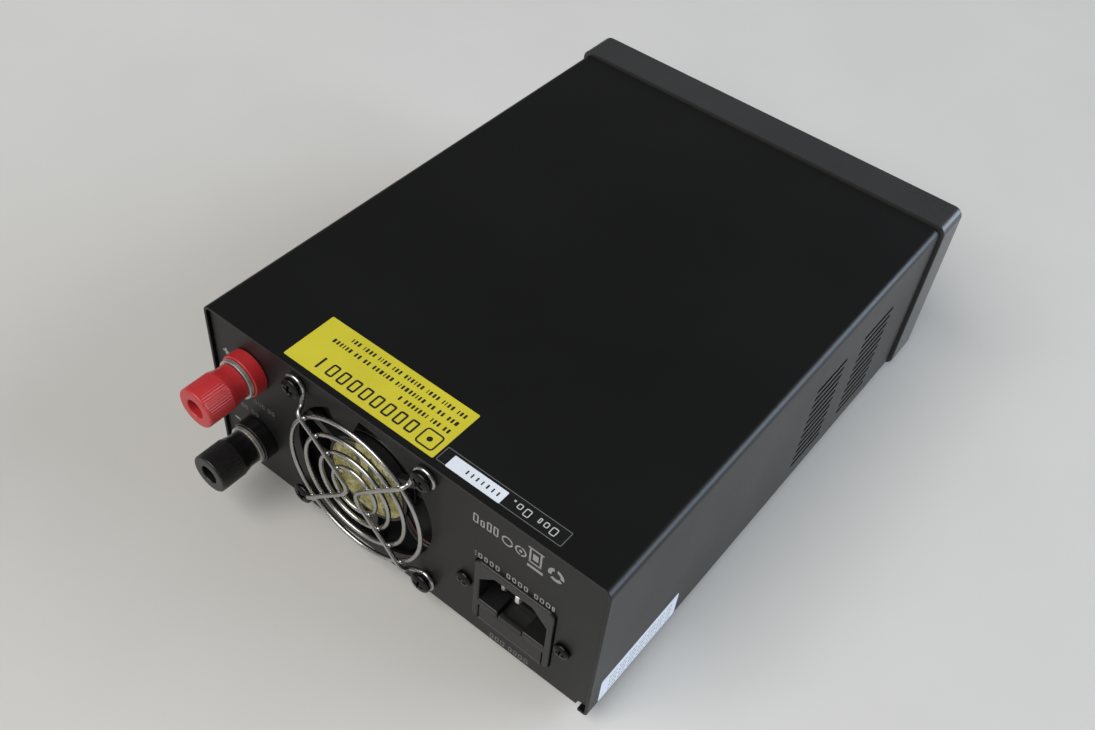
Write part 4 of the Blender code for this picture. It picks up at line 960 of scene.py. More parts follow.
bm = bmesh.new()
layered(bm, rounded_poly(rect(-67.2, 29.3, 1.2, 57.2), 1.8, 5), [window], [(FRONT - 0.35, 0.35), (FRONT - 0.3, 0.15), (FRONT - 0.1, 0.0), (FRONT + 0.1, 0.0)])
put(weighted(from_bm("display_surround", bm, SWITCH)), "chassis", slot="fascia_plastic")

bm = bmesh.new()
layered(bm, rounded_poly(rect(-65.75, 30.75, -0.25, 55.75), 0.7, 4), [], [(FRONT, 0.12), (FRONT + 0.12, 0.0), (-105.9, 0.0)])
put(weighted(from_bm("display_lens", bm, LENS)), "chassis", "display_window", slot="display_lens")

bm = bmesh.new()
layered(bm, rect(-63.5, 32.7, -2.5, 53.8), [], [(-104.1, 0.3), (-103.8, 0.0), (-96.9, 0.0)])
SEGMENT = moulded("segment_finish", (0.26, 0.12, 0.11), rough=0.5, grain=0.002)
for z0 in (33.9, 44.2):
    for k in range(4):
        x0 = -57.5 + 11.0 * k
        w, h, t = 6.0, 8.4, 1.0
        for (a, b, c, d) in ((0.5, 0, w - 0.5, t), (0.5, h - t, w - 0.5, h), (0.5, h / 2 - t / 2, w - 0.5, h / 2 + t / 2),
                             (0, 0.6, t, h / 2 - 0.3), (w - t, 0.6, w, h / 2 - 0.3), (0, h / 2 + 0.3, t, h - 0.6), (w - t, h / 2 + 0.3, w, h - 0.6)):
            # the digits' x runs with the reader's right, which is +X seen from the front
            prism(bm, rounded_poly(rect(x0 + a, z0 + b, x0 + c, z0 + d), 0.45, 2), lambda u, v, w: (u, -w, v), 104.0, 104.16, material=1)
        prism(bm, ring_of(x0 + w + 1.7, z0 + 0.7, 0.65, 12), lambda u, v, w: (u, -w, v), 104.0, 104.16, material=1)
put(weighted(from_bm("display_digits", bm, [MODULE, SEGMENT])), "chassis", "display_module", slot="module_plastic")

turned("status_lens", [(0, 3.6)] + [(1.5 * math.sin(math.radians(a)), 1.9 + 1.7 * math.cos(math.radians(a))) for a in range(10, 91, 10)]
       + [(1.5, 0.6), (1.7, 0.5), (1.7, -0.2), (1.5, -0.3), (1.5, -3.4), (0, -3.4)],
       (-38.0, -104.4, 17.6), (0, -1, 0), LED_GREEN, "chassis", "status_led", slot="led_lens", steps=32)

# ---------------------------------------------------------------- knobs
for which, x in KNOB_AT.items():
    depth = 13.5
    rows = [(3.1, depth - 1.4), (0, depth - 1.4)]
    outer_rows = [(0, depth - 0.25), (5.5, depth - 0.2), (7.9, depth - 0.05), (8.5, depth), (8.9, depth - 0.1), (9.3, depth - 0.45), (9.55, depth - 0.95),
                  (9.62, depth - 1.3, 0.0), (9.7, depth - 1.8, 0.55), (10.1, 6.5, 0.6), (10.55, 2.9, 0.55), (10.65, 2.4, 0.0), (10.75, 1.9), (11.0, 1.7), (11.0, 0.25), (10.85, 0.0),
                  (6.4, 0.0), (6.2, 0.2), (6.2, 4.6), (3.1, 4.6), (3.1, depth - 1.4), (0, depth - 1.4)]

    def pointer(bm, x=x):
        prism(bm, rounded_poly(rect(x - 0.55, 36.0, x + 0.55, 41.6), 0.2, 2), facing_rear, -120.6, -121.24, material=1)
    turned(f"{which}_knob_body", outer_rows, (x, -107.7, 33.0), (0, -1, 0), [KNOB, WHITE_PRINT], f"{which}_knob", f"{which}_knob",
           slot="knob_plastic", steps=240, ribs=30, smooth=30.0, more=pointer)

# ---------------------------------------------------------------- power switch
SX, SZ = -58.0, 17.6


def switch_ring(hx, hz, r, y):
    return [(SX + u, y, SZ + v) for u, v in rounded_poly(rect(-hx, -hz, hx, hz), r, 5)]


rings = [switch_ring(5.3, 8.6, 0.4, -99.2), switch_ring(5.3, 8.6, 0.4, -108.5), switch_ring(5.45, 8.75, 0.45, -108.8), switch_ring(5.8, 9.1, 0.6, -108.9),
         switch_ring(6.9, 10.2, 0.9, -108.9), switch_ring(7.4, 10.7, 1.0, -108.7), switch_ring(7.6, 10.9, 1.0, -108.3), switch_ring(7.6, 10.9, 1.0, -107.2),
         switch_ring(6.5, 9.7, 0.5, -107.2), switch_ring(6.5, 9.7, 0.5, -98.0)]
bm = bmesh.new()
loft_rings(bm, rings)
put(weighted(from_bm("switch_housing", bm, SWITCH)), "chassis", "power_switch_body", slot="switch_plastic")

tilt = Matrix.Rotation(math.radians(-10.0), 3, "X")


def rocker_point(up, out, across):
    return tuple(tilt @ Vector((across, -out, up)) + Vector((SX, -105.5, SZ)))


side = [(-7.6, 0.1), (-7.6, 4.0)] + [(-7.35, 4.3)] + [(-7.35 + 14.7 * k / 16, 4.3 - 1.7 * math.sin(math.pi * k / 16) ** 0.9) for k in range(1, 16)] + [(7.35, 4.3), (7.6, 4.0), (7.6, 0.1), (4.5, -2.5), (-4.5, -2.5)]
bm = bmesh.new()
levels = [(-4.9, 0.25), (-4.65, 0.0), (4.65, 0.0), (4.9, 0.25)]
loft_rings(bm, [[rocker_point(u, v, w) for u, v in (offset_loop(ccw(list(side)), d) if d else ccw(list(side)))] for w, d in levels])


def on_rocker(u0, v0, outline):
    """A light mark on the rocker's dished face, at height u0 up the face."""
    def face(u):
        return 4.3 - 1.7 * math.sin(math.pi * min(1, max(0, (u + 7.35) / 14.7))) ** 0.9
    loft_rings(bm, [[rocker_point(u0 + b, face(u0 + b) + k, v0 + a) for a, b in outline] for k in (-0.25, 0.06)], material=1)


on_rocker(-4.3, 0.0, rounded_poly(rect(-0.35, -1.4, 0.35, 1.4), 0.15, 2))
for k in range(20):
    a0, a1 = math.tau * k / 20, math.tau * (k + 1) / 20
    quad = [(1.05 * math.sin(a0), 1.05 * math.cos(a0)), (1.5 * math.sin(a0), 1.5 * math.cos(a0)), (1.5 * math.sin(a1), 1.5 * math.cos(a1)), (1.05 * math.sin(a1), 1.05 * math.cos(a1))]
    on_rocker(4.3, 0.0, quad)
put(weighted(from_bm("switch_rocker", bm, [SWITCH, WHITE_PRINT])), "power_rocker", "power_rocker", slot="switch_plastic")

# ---------------------------------------------------------------- screws
def screw(name, at, axis, head_r, head_h, shank_r, shank_l, node, spin=0.0, mats=None, slot="black_screw"):
    profile = [(0, head_h)]
    for k in range(1, 9):
        a = math.radians(90.0 * k / 8)
        profile.append((head_r * math.sin(a) ** 0.9, head_h * 0.4 + head_h * 0.6 * math.cos(a)))
    profile += [(head_r, head_h * 0.12), (head_r - 0.12, 0.0), (shank_r, 0.0)]
    h = -0.4
    while h > -shank_l + 0.5:
        profile += [(shank_r, h), (shank_r - 0.16, h - 0.25)]
        h -= 0.5
    profile += [(shank_r, -shank_l + 0.3), (shank_r * 0.7, -shank_l), (0, -shank_l)]
    bm = bmesh.new()
    turn_into(bm, profile, at, axis, 48)
    obj = from_bm(name, bm, mats or SCREW_BLACK)
    ax = Vector(axis).normalized()
    u = ax.orthogonal().normalized()
    u = Matrix.Rotation(math.radians(spin), 3, ax) @ u
    v = ax.cross(u)

    def cross(bm):
        rings = []
        for h, a, b in ((head_h + 0.3, 0.60 * head_r, 0.15 * head_r), (head_h * 0.72, 0.52 * head_r, 0.12 * head_r), (head_h * 0.22, 0.2 * head_r, 0.08 * head_r)):
            pts = [(a, b), (b, b), (b, a), (-b, a), (-b, b), (-a, b), (-a, -b), (-b, -b), (-b, -a), (b, -a), (b, -b), (a, -b)]
            rings.append([tuple(Vector(at) + ax * h + u * p + v * q) for p, q in pts])
        loft_rings(bm, rings)
    carve(obj, cross, "cross")
    return put(obj, "chassis", node, slot=slot)


k = 0
for sx in (-1, 1):
    for sy in (-1, 1):
        k += 1
        screw(f"cover_screw_{k}_fine", (sx * 70.2, sy * 62.0, -0.2), (0, 0, -1), 2.9, 1.6, 1.5, 6.0, f"cover_screw_{k}", spin=17 * k)
k = 0
for sx in (1, -1):
    for sz in (1, -1):
        k += 1
        screw(f"fan_screw_{k}_fine", (FAN[0] + sx * 25, 95.1, FAN[1] + sz * 25), (0, 1, 0), 3.6, 1.9, 1.8, 14.0, f"fan_screw_{k}", spin=31 * k + 8)
for sx, n in ((1, 1), (-1, 2)):
    screw(f"inlet_screw_{n}_fine", (INLET[0] + sx * 17.85, 93.2, INLET[1]), (0, 1, 0), 2.75, 1.6, 1.4, 7.0, f"inlet_screw_{n}", spin=24 * n)

# ---------------------------------------------------------------- feet
for node in ("rubber_foot_front_left", "rubber_foot_front_right", "rubber_foot_rear_left", "rubber_foot_rear_right"):
    c = node_centre(node)
    turned(node + "_fine", [(0, 0.4), (6.9, 0.4), (7.0, 0.3), (7.0, -0.6), (6.9, -1.0)] + [(6.85 - 0.75 * k / 6 * 1.05, -1.0 - 3.3 * k / 6) for k in range(1, 6)]
           + [(6.05, -4.4), (5.9, -4.8), (5.5, -5.0), (3.6, -5.0), (3.25, -4.9), (3.1, -4.6), (2.9, -2.2), (0, -2.2)],
           (c.x, c.y, 0.0), (0, 0, 1), RUBBER, "chassis", node, slot="foot_rubber", steps=64,
           more=lambda bm, c=c: turn_into(bm, [(0, -3.0), (1.2, -2.95), (2.0, -2.6), (2.2, -2.1), (0, -2.1)], (c.x, c.y, 0.0), (0, 0, 1), 32, material=0))

# ---------------------------------------------------------------- fan
bm = bmesh.new()
square = rounded_poly(rect(FAN[0] - 30, FAN[1] - 30, FAN[0] + 30, FAN[1] + 30), 3.5, 6)
bore = ring_of(*FAN, 28.6, 96)
corner_holes = [ring_of(FAN[0] + sx * 25, FAN[1] + sz * 25, 2.15, 20) for sx in (-1, 1) for sz in (-1, 1)]
layered(bm, square, [bore] + corner_holes, [(88.3, 0.0), (91.25, 0.0), (91.5, 0.25)])
layered(bm, square, [bore] + corner_holes, [(71.5, 0.25), (71.75, 0.0), (74.7, 0.0)])
turn_into(bm, [(28.6, 71.6), (28.6, 91.4), (29.9, 91.4), (29.9, 71.6)], (FAN[0], 0, FAN[1]), (0, 1, 0), 96, closed=True)
for sx in (-1, 1):
    for sz in (-1, 1):
        turn_into(bm, [(2.15, 74.0), (2.15, 89.0), (3.6, 89.0), (3.6, 74.0)], (FAN[0] + sx * 25, 0, FAN[1] + sz * 25), (0, 1, 0), 24, closed=True)
turn_into(bm, [(0, 91.25), (14.6, 91.25), (14.75, 91.4), (15.3, 91.4), (15.55, 91.2), (15.6, 90.9), (15.6, 88.3), (15.4, 88.1), (2.0, 88.1), (2.0, 90.2), (0, 90.2)],
          (FAN[0], 0, FAN[1]), (0, 1, 0), 64)
for angle in (25.0, 145.0, 265.0):
    a = math.radians(angle)
    d, n = Vector((math.cos(a), 0, math.sin(a))), Vector((-math.sin(a), 0, math.cos(a)))
    rings = []
    for r in (14.8, 16.5, 20.0, 25.0, 28.0, 29.4):
        c = Vector((FAN[0], 89.7, FAN[1])) + d * r
        w = 1.3 + 0.9 * max(0.0, 1 - (r - 14.8) / 3.0) + 0.8 * max(0.0, (r - 26.5) / 3.0)
        rings.append([tuple(c + n * (u * w) + Vector((0, v * 1.4, 0))) for u, v in ((-1, -0.8), (-0.8, -1), (0.8, -1), (1, -0.8), (1, 0.8), (0.8, 1), (-0.8, 1), (-1, 0.8))])
    loft_rings(bm, rings)
put(weighted(from_bm("fan_body", bm, FAN_BLACK)), "chassis", "fan_frame", slot="fan_plastic")


def hub_sticker():
    t = Tree("hub_sticker_stock")
    worn = t.ramp(t.noise(260.0, 5.0, 0.7), 0.42, 0.6)
    tone = t.mix(worn, (0.30, 0.27, 0.05), (0.62, 0.58, 0.30))
    tone = t.mix(t.ramp(t.noise(700.0, 4.0, 0.75), 0.52, 0.62, 0.0, 0.85), tone, (0.08, 0.07, 0.02))
    tone = t.mix(t.ramp(t.noise(330.0, 3.0, 0.6, vector=t.scaled(1.0, 1.0, 0.35)), 0.56, 0.6, 0.0, 0.85), tone, (0.03, 0.03, 0.012))
    return t.set(color=tone, rough=t.ramp(worn, 0.0, 1.0, 0.38, 0.52), normal=t.bump(worn, 0.1, 0.00002))


turned("fan_hub_label", [(0, 91.5), (14.2, 91.5), (14.3, 91.45), (14.3, 91.26), (0, 91.26)], (FAN[0], 0, FAN[1]), (0, 1, 0), hub_sticker(), "chassis",
       slot="fan_plastic", steps=64)

# The red lead's jacket is darkened to a near-black red: painted shade for the lead lying deep in the fan opening behind
# the guard.
LEAD_RED_PAINTED_SHADE = moulded("lead_red_jacket_painted_shade", (0.028, 0.003, 0.003), rough=0.4, grain=0.002, strength=0.1)
LEAD_BLACK = moulded("lead_black_jacket", (0.012, 0.012, 0.012), rough=0.4, grain=0.002, strength=0.1)
bm = bmesh.new()
for k, (turn, number) in enumerate(((205.0, 0), (209.5, 1))):
    pts = []
    for r, y in ((14.6, 89.2), (17.0, 89.6), (20.0, 90.2), (23.5, 90.3), (26.5, 89.9), (29.2, 89.3)):
        a = math.radians(turn + (6.0 if number else 4.0) * math.sin((r - 14.6) / 14.6 * math.pi))
        pts.append((FAN[0] + r * math.cos(a), y, FAN[1] + r * math.sin(a)))
    tube(bm, smooth_path(pts, 5), 0.62, 12, material=number)
put(from_bm("fan_leads", bm, [LEAD_RED_PAINTED_SHADE, LEAD_BLACK]), "chassis", slot="fan_plastic")

bm = bmesh.new()
turn_into(bm, [(0, 89.7), (1.5, 89.7), (1.5, 87.3), (14.6, 87.3), (15.05, 87.1), (15.2, 86.7), (15.2, 74.2), (15.0, 73.5), (14.2, 73.0), (0, 73.0)],
          (FAN[0], 0, FAN[1]), (0, 1, 0), 64)
for i in range(7):
    base = math.tau * i / 7
    grid = []
    for ri in range(9):
        r = 14.4 + (27.8 - 14.4) * ri / 8
        row = []
        for ci in range(13):
            t = ci / 12 - 0.5
            swing = base + math.radians(44.0) * t * (1.0 + 0.15 * ri / 8) + math.radians(5.0) * (t * t - 0.25) + math.radians(3.0) * (ri / 8) ** 2
            row.append((r, swing, 80.15 + t * 12.3))
        grid.append(row)
    half = 0.5
    top, low = [], []
    for row in grid:
        ta, tb = [], []
        for r, s, y in row:
            # thickness lies mostly along the axis and the turn
            ta.append(bm.verts.new(P(FAN[0] + r * math.cos(s + half / r), y - half * 0.75, FAN[1] + r * math.sin(s + half / r))))
            tb.append(bm.verts.new(P(FAN[0] + r * math.cos(s - half / r), y + half * 0.75, FAN[1] + r * math.sin(s - half / r))))
        top.append(ta)
        low.append(tb)
    n, m = len(grid), len(grid[0])
    for a in range(n - 1):
        for b in range(m - 1):
            bm.faces.new((top[a][b], top[a][b + 1], top[a + 1][b + 1], top[a + 1][b]))
            bm.faces.new((low[a][b], low[a + 1][b], low[a + 1][b + 1], low[a][b + 1]))
    for b in range(m - 1):
        bm.faces.new((top[0][b], low[0][b], low[0][b + 1], top[0][b + 1]))
        bm.faces.new((top[-1][b], top[-1][b + 1], low[-1][b + 1], low[-1][b]))
    for a in range(n - 1):
        bm.faces.new((top[a][0], top[a + 1][0], low[a + 1][0], low[a][0]))
        bm.faces.new((top[a][-1], low[a][-1], low[a + 1][-1], top[a + 1][-1]))
put(weighted(from_bm("fan_impeller", bm, FAN_BLACK, 50.0)), "fan_rotor", "fan_rotor", slot="fan_plastic")

# ---------------------------------------------------------------- guard
RING_Y, SPOKE_Y, EYE_Y, EYE_R = 96.8, 98.2, 94.05, 3.4


def guard_spoke(side, hooks):
    def hook(corner, start, end, n=12):
        return [(corner[0] + EYE_R * math.cos(math.radians(start + (end - start) * i / n)), EYE_Y,
                 corner[1] + EYE_R * math.sin(math.radians(start + (end - start) * i / n))) for i in range(n + 1)]
    d = 1 / math.sqrt(2)

    def diagonal(r, sz, y):
        return (FAN[0] + side * r * d, y, FAN[1] + sz * r * d)
    up, down = (FAN[0] + side * 25, FAN[1] + 25), (FAN[0] + side * 25, FAN[1] - 25)
    pts = list(reversed(hook(up, *hooks[0])))
    pts += [diagonal(29.6, 1, SPOKE_Y - 2.4), diagonal(27.6, 1, SPOKE_Y), diagonal(20.0, 1, SPOKE_Y), diagonal(8.0, 1, SPOKE_Y)]
    pts += [(FAN[0] + side * 2.9, SPOKE_Y, FAN[1] + 2.6), (FAN[0] + side * 2.0, SPOKE_Y, FAN[1]), (FAN[0] + side * 2.9, SPOKE_Y, FAN[1] - 2.6)]
    pts += [diagonal(8.0, -1, SPOKE_Y), diagonal(20.0, -1, SPOKE_Y), diagonal(27.6, -1, SPOKE_Y), diagonal(29.6, -1, SPOKE_Y - 2.4)]
    pts += hook(down, *hooks[1])
    return smooth_path(pts, 6)


bm = bmesh.new()
for radius in (26.1, 19.85, 13.7, 8.5):
    n = int(radius * 5) + 40
    tube(bm, [(FAN[0] + radius * math.cos(math.tau * i / n), RING_Y, FAN[1] + radius * math.sin(math.tau * i / n)) for i in range(n)], 0.72, 16, closed=True)
tube(bm, guard_spoke(1, ((-165, -320), (165, 345))), 0.74, 16)
tube(bm, guard_spoke(-1, ((-10, 200), (75, 240))), 0.74, 16)
# flattened weld nuggets where the bent wires lie on the rings
for side in (-1, 1):
    for sz in (-1, 1):
        for radius in (26.1, 19.85, 13.7, 8.5):
            c = Vector((FAN[0] + side * radius / math.sqrt(2), (RING_Y + SPOKE_Y) / 2, FAN[1] + sz * radius / math.sqrt(2)))
            turn_into(bm, [(0, 0.62), (0.55, 0.5), (0.85, 0.0), (0.55, -0.5), (0, -0.62)], tuple(c), (0, 1, 0), 16)
put(from_bm("finger_guard", bm, CHROME, 60.0), "chassis", "fan_guard", slot="guard_wire")

# ---------------------------------------------------------------- mains inlet
IX, IZ = INLET


def about_inlet(points):
    return [(IX + u, IZ + v) for u, v in points]


body = about_inlet(rounded_poly(rect(-14.15, -14.5, 14.15, 14.5), 2.4, 8))
recess = about_inlet(rounded_poly([(-12.0, -4.3), (12.0, -4.3), (12.0, 5.8), (6.6, 10.8), (-6.6, 10.8), (-12.0, 5.8)], 1.0, 5))
bay = about_inlet(rounded_poly(rect(-11.9, -13.95, 11.9, -7.15), 0.4, 3))
PIN_AT = {"inlet_pin_line": (-7.0, 1.2), "inlet_pin_neutral": (7.0, 1.2), "inlet_pin_earth": (0.0, 5.2)}
slots = [about_inlet(rounded_poly(rect(x - 1.3, z - 2.3, x + 1.3, z + 2.3), 0.3, 2)) for x, z in PIN_AT.values()]
bm = bmesh.new()
opening = about_inlet(rounded_poly([(-12.0, -4.3), (-4.25, -4.3), (-4.25, -7.15), (-11.9, -7.15), (-11.9, -13.95), (11.9, -13.95), (11.9, -7.15), (4.95, -7.15), (4.95, -4.3),
                                    (12.0, -4.3), (12.0, 5.8), (6.6, 10.8), (-6.6, 10.8), (-12.0, 5.8)], 0.4, 3))
layered(bm, body, [opening], [(87.0, 0.0)] + round_levels(94.0, 0.55, 1, 4))
layered(bm, body, [recess, bay], [(78.0, 0.0), (87.02, 0.0)])
layered(bm, body, [bay] + slots, [(67.5, 0.0), (78.02, 0.0)])
layered(bm, body, slots, [(66.0, 0.0), (67.52, 0.0)])
flange = about_inlet(rounded_poly([(-23.0, 0.0), (-12.5, -13.5), (12.5, -13.5), (23.0, 0.0), (12.5, 13.5), (-12.5, 13.5)], 4.0, 5))
screw_bores = [about_inlet(ring_of(sx * 17.85, 0, 1.75, 20)) for sx in (-1, 1)]
layered(bm, flange, [offset_loop(ccw(body), 0.3)[::-1]] + screw_bores, [(88.5, 0.0), (91.5, 0.0)])
inlet = weighted(from_bm("inlet_moulding", bm, [INLET_BLACK, INLET_RECESS_PAINTED_SHADE]))
# The recess and bay walls and the recess floor take the darker copy, which is painted shade, not a second moulding.
for face in inlet.data.polygons:
    c = face.center / MM
    u, v = c.x - (P(IX, 0, 0).x / MM), c.z - (P(0, 0, IZ).z / MM)
    if abs(u) < 12.3 and -7.4 < v < 11.0 and 77.0 < c.y - P(0, 0, 0).y / MM < 93.3 and abs(face.normal.y) < 0.9 or (abs(u) < 12.0 and -4.2 < v < 10.8 and 77.0 < c.y - P(0, 0, 0).y / MM < 79.0):
        face.material_index = 1
put(inlet, "chassis", "inlet_housing", slot="inlet_plastic")

for node, (px, pz) in PIN_AT.items():
    bm = bmesh.new()
    rings = []
    longer = 2.7 if node == "inlet_pin_earth" else 0.0
    for y, hx, hz in ((61.0, 0.9, 1.9), (61.3, 1.0, 2.0), (87.8 + longer, 1.0, 2.0), (88.6 + longer, 0.9, 1.85), (89.1 + longer, 0.7, 1.5), (89.4 + longer, 0.4, 1.0)):
        rings.append([(IX + px + u, y, IZ + pz + v) for u, v in rounded_poly(rect(-hx, -hz, hx, hz), 0.3, 3)])
    loft_rings(bm, rings)
    put(weighted(from_bm(node + "_blade", bm, NICKEL)), "chassis", node, slot="contact_metal")

# ---------------------------------------------------------------- fuse drawer and fuse
dz0, dz1 = IZ - 13.7, IZ - 7.4
drawer = rounded_box("drawer_tray", (IX - 11.6, 68.2, dz0), (IX + 11.6, 93.9, dz1), 0.35, DRAWER_BLACK, 3)


def drawer_cuts(bm):
    add_box(bm, (IX - 3.2, 69.5, dz0 + 0.7), (IX + 3.2, 85.0, dz1 + 1), 0.4, 2)
    add_box(bm, (IX - 2.8, 80.0, dz0 + 0.75), (IX + 2.8, 90.8, dz0 + 6.02), 0.3, 2)
    for sx in (-1, 1):
        add_box(bm, (IX + sx * 7.6 - 2.2, 70.5, dz1 - 2.2), (IX + sx * 7.6 + 2.2, 86.0, dz1 + 1), 0.3, 2)


def drawer_tab(bm):
    add_box(bm, (IX - 3.95, 92.2, dz1 - 0.6), (IX + 4.65, 93.8, dz1 + 1.7), 0.3, 2)


carve(drawer, drawer_cuts, "drawer_cuts")
carve(drawer, drawer_tab, "drawer_tab", "UNION")
put(drawer, "fuse_drawer", "fuse_drawer", slot="inlet_plastic")

bm = bmesh.new()
fuse_at = (IX, 80.1, dz0 + 3.45)
turn_into(bm, [(2.3, -6.0), (2.3, 6.0), (1.95, 6.0), (1.95, -6.0)], fuse_at, (0, 1, 0), 32, closed=True, material=0)
for s in (-1, 1):
    turn_into(bm, [(0, s * 10.0), (2.2, s * 10.0), (2.5, s * 9.75), (2.55, s * 9.4), (2.55, s * 5.4), (2.45, s * 5.2), (2.32, s * 5.2), (0, s * 5.25)], fuse_at, (0, 1, 0), 32, material=1)
tube(bm, [(IX, 74.5, fuse_at[2] - 0.4), (IX, 80.0, fuse_at[2] + 0.25), (IX, 85.5, fuse_at[2] - 0.2)], 0.13, 8, material=1)
put(weighted(from_bm("fuse_cartridge", bm, [FUSE_GLASS, NICKEL])), "fuse_drawer", "mains_fuse", slot="fuse_glass")

# ---------------------------------------------------------------- output posts
for which, z in (("positive", 48.0), ("negative", 17.0)):
    moulding = RED if which == "positive" else BLACK_TERMINAL
    slot_name = "red_terminal" if which == "positive" else "black_terminal"
    at, Y = (58.0, FACE_Y, z), (0, 1, 0)
    turned(f"{which}_collar", [(3.3, -3.0), (4.4, -3.0), (4.6, -2.8), (4.6, 0.2), (7.25, 0.2), (7.45, 0.4), (7.45, 4.25)]
           + [(7.1 + 0.35 * math.cos(math.radians(a)), 4.3 + 0.35 * math.sin(math.radians(a))) for a in range(15, 91, 15)]
           + [(3.6, 4.65), (3.3, 4.4)], at, Y, moulding, "chassis", f"{which}_post_base", slot=slot_name, steps=96, closed=True)
    stud = [(2.05, -15.0), (2.7, -15.0), (2.9, -14.7)]
    h = -14.3
    while h < 15.6:
        stud += [(2.9, h), (2.74, h + 0.35)]
        h += 0.7
    stud += [(2.9, 15.9), (2.9, 16.45), (2.7, 16.75), (2.55, 16.8), (2.3, 16.8), (2.05, 16.5)]
    turned(f"{which}_stud", stud, at, Y, BRASS, "chassis", f"{which}_post_stud", slot="stud_brass", steps=48, closed=True)
    turned(f"{which}_washer_ring", [(3.3, 4.95), (3.4, 4.85), (6.72, 4.85), (6.8, 4.93), (6.8, 6.12), (6.72, 6.2), (5.6, 6.2), (5.5, 6.15), (3.9, 6.15), (3.8, 6.2), (3.4, 6.2), (3.3, 6.1)],
           at, Y, WASHER, f"{which}_washer", f"{which}_post_washer", slot="contact_metal", steps=96, closed=True)
    cap = [(3.2, 6.5), (3.3, 6.4), (5.85, 6.4), (6.0, 6.55), (6.0, 9.2), (6.1, 9.5), (6.62, 11.7), (6.75, 12.1), (6.75, 12.35, 0.0), (6.75, 12.8, 0.15), (6.75, 20.2, 0.15), (6.75, 20.5, 0.0),
           (6.75, 20.75)]
    cap += [(6.15 + 0.6 * math.cos(math.radians(a)), 20.8 + 0.6 * math.sin(math.radians(a))) for a in range(15, 91, 15)]
    cap += [(3.7, 21.4), (3.35, 21.35), (3.25, 21.2), (3.2, 20.9), (3.2, 14.0)]
    turned(f"{which}_grip", cap, at, Y, moulding, f"{which}_cap", f"{which}_post_cap", slot=slot_name, steps=288, closed=True, ribs=48, smooth=28.0)

# ---------------------------------------------------------------- labels and printing
TOP = CASE_H
bm = bmesh.new()
prism(bm, rounded_poly(rect(-13.5, 72.0, 43.5, 91.8), 0.4, 3), facing_up, TOP - 0.05, TOP + 0.08)
put(from_bm("yellow_label", bm, YELLOW_LABEL, smooth=None), "chassis", slot="cover_coat")
frames = [(-11.9, 84.3, -5.4, 90.6, 0.55, 1.2)]
frames += [(-3.4 + 4.3 * k, 85.0, -0.5 + 4.3 * k, 89.7, 0.66, 0.7) for k in range(8)]
shapes = [rect(32.5, 85.0, 33.3, 89.7), ring_of(-8.65, 87.45, 0.9, 16)]
shapes += bars(-11.0, 8.5, 81.3, 82.9, (0.75, 0.7, -0.9, 0.7, 0.7, 0.4, -0.9, 0.4, 0.7, 0.7, 0.6, 0.7), 0.62)
shapes += bars(-11.0, 37.0, 77.8, 79.4, (1.0, 0.7, 0.7, -0.9, 0.7, 0.75, -0.9, 0.75, 0.7, -0.9, 0.8, 0.6, 0.4, 0.6, 0.7, 0.9, 0.7, 0.3, 0.6, -0.9, 0.8, 0.75, 0.4), 0.62)
shapes += bars(-11.0, 33.0, 74.3, 75.9, (0.7, 0.7, 0.4, -0.9, 0.75, 0.7, 0.3, 0.4, -0.9, 0.7, 0.75, 0.75, 0.3, -0.9, 0.75, 0.7, 0.4, 0.75, 0.5, 0.7, -0.9), 0.62)


def framed(name, frames, to, w0, w1, mats, body, slot):
    """Hollow printed frames: x0, y0, x1, y1, line width and corner radius."""
    bm = bmesh.new()
    for x0, y0, x1, y1, line, r in frames:
        outer = ccw(rounded_poly(rect(min(x0, x1), y0, max(x0, x1), y1), r, 4))
        layered(bm, outer, [offset_loop(outer, line)], [(w0, 0.0), (w1, 0.0)], to=to)
    return put(from_bm(name, bm, mats, smooth=None), body, slot=slot)


marks("yellow_label_print", shapes, facing_up, TOP + 0.05, TOP + 0.095, BLACK_INK, "chassis", "cover_coat")
framed("yellow_label_frames", frames, facing_up, TOP + 0.05, TOP + 0.095, BLACK_INK, "chassis", "cover_coat")

bm = bmesh.new()
prism(bm, rounded_poly(rect(-57.0, 85.7, -14.0, 91.7), 0.4, 3), facing_up, TOP - 0.05, TOP + 0.06)
put(from_bm("black_label", bm, BLACK_LABEL, smooth=None), "chassis", slot="cover_coat")
frame_line = rounded_poly(rect(-56.7, 86.0, -14.3, 91.4), 0.3, 3)
bm = bmesh.new()
layered(bm, frame_line, [offset_loop(ccw(frame_line), 0.16)], [(TOP + 0.04, 0.0), (TOP + 0.075, 0.0)], to=facing_up)
put(from_bm("black_label_outline", bm, GREY_PRINT, smooth=None), "chassis", slot="cover_coat")
bm = bmesh.new()
prism(bm, rounded_poly(rect(-36.3, 87.0, -17.6, 91.5), 0.3, 3), facing_up, TOP + 0.05, TOP + 0.11)
put(from_bm("white_sticker", bm, WHITE_LABEL, smooth=None), "chassis", slot="cover_coat")
marks("white_sticker_print", bars(-34.6, -23.0, 88.5, 90.0, (0.5, 0.45, 0.55, 0.4, 0.5, 0.45), 1.3, 0.15), facing_up, TOP + 0.1, TOP + 0.125, BLACK_INK, "chassis", "cover_coat")
framed("black_label_print", [(-53.6, 87.6, -51.6, 90.2, 0.3, 0.5), (-50.7, 87.6, -49.2, 89.4, 0.3, 0.5), (-48.3, 87.6, -47.4, 89.4, 0.3, 0.3),
                             (-44.9, 87.6, -42.9, 90.2, 0.3, 0.5), (-42.0, 87.6, -40.4, 89.4, 0.3, 0.5), (-39.4, 87.6, -38.8, 88.2, 0.25, 0.1)],
       facing_up, TOP + 0.05, TOP + 0.085, WHITE_PRINT, "chassis", "cover_coat")

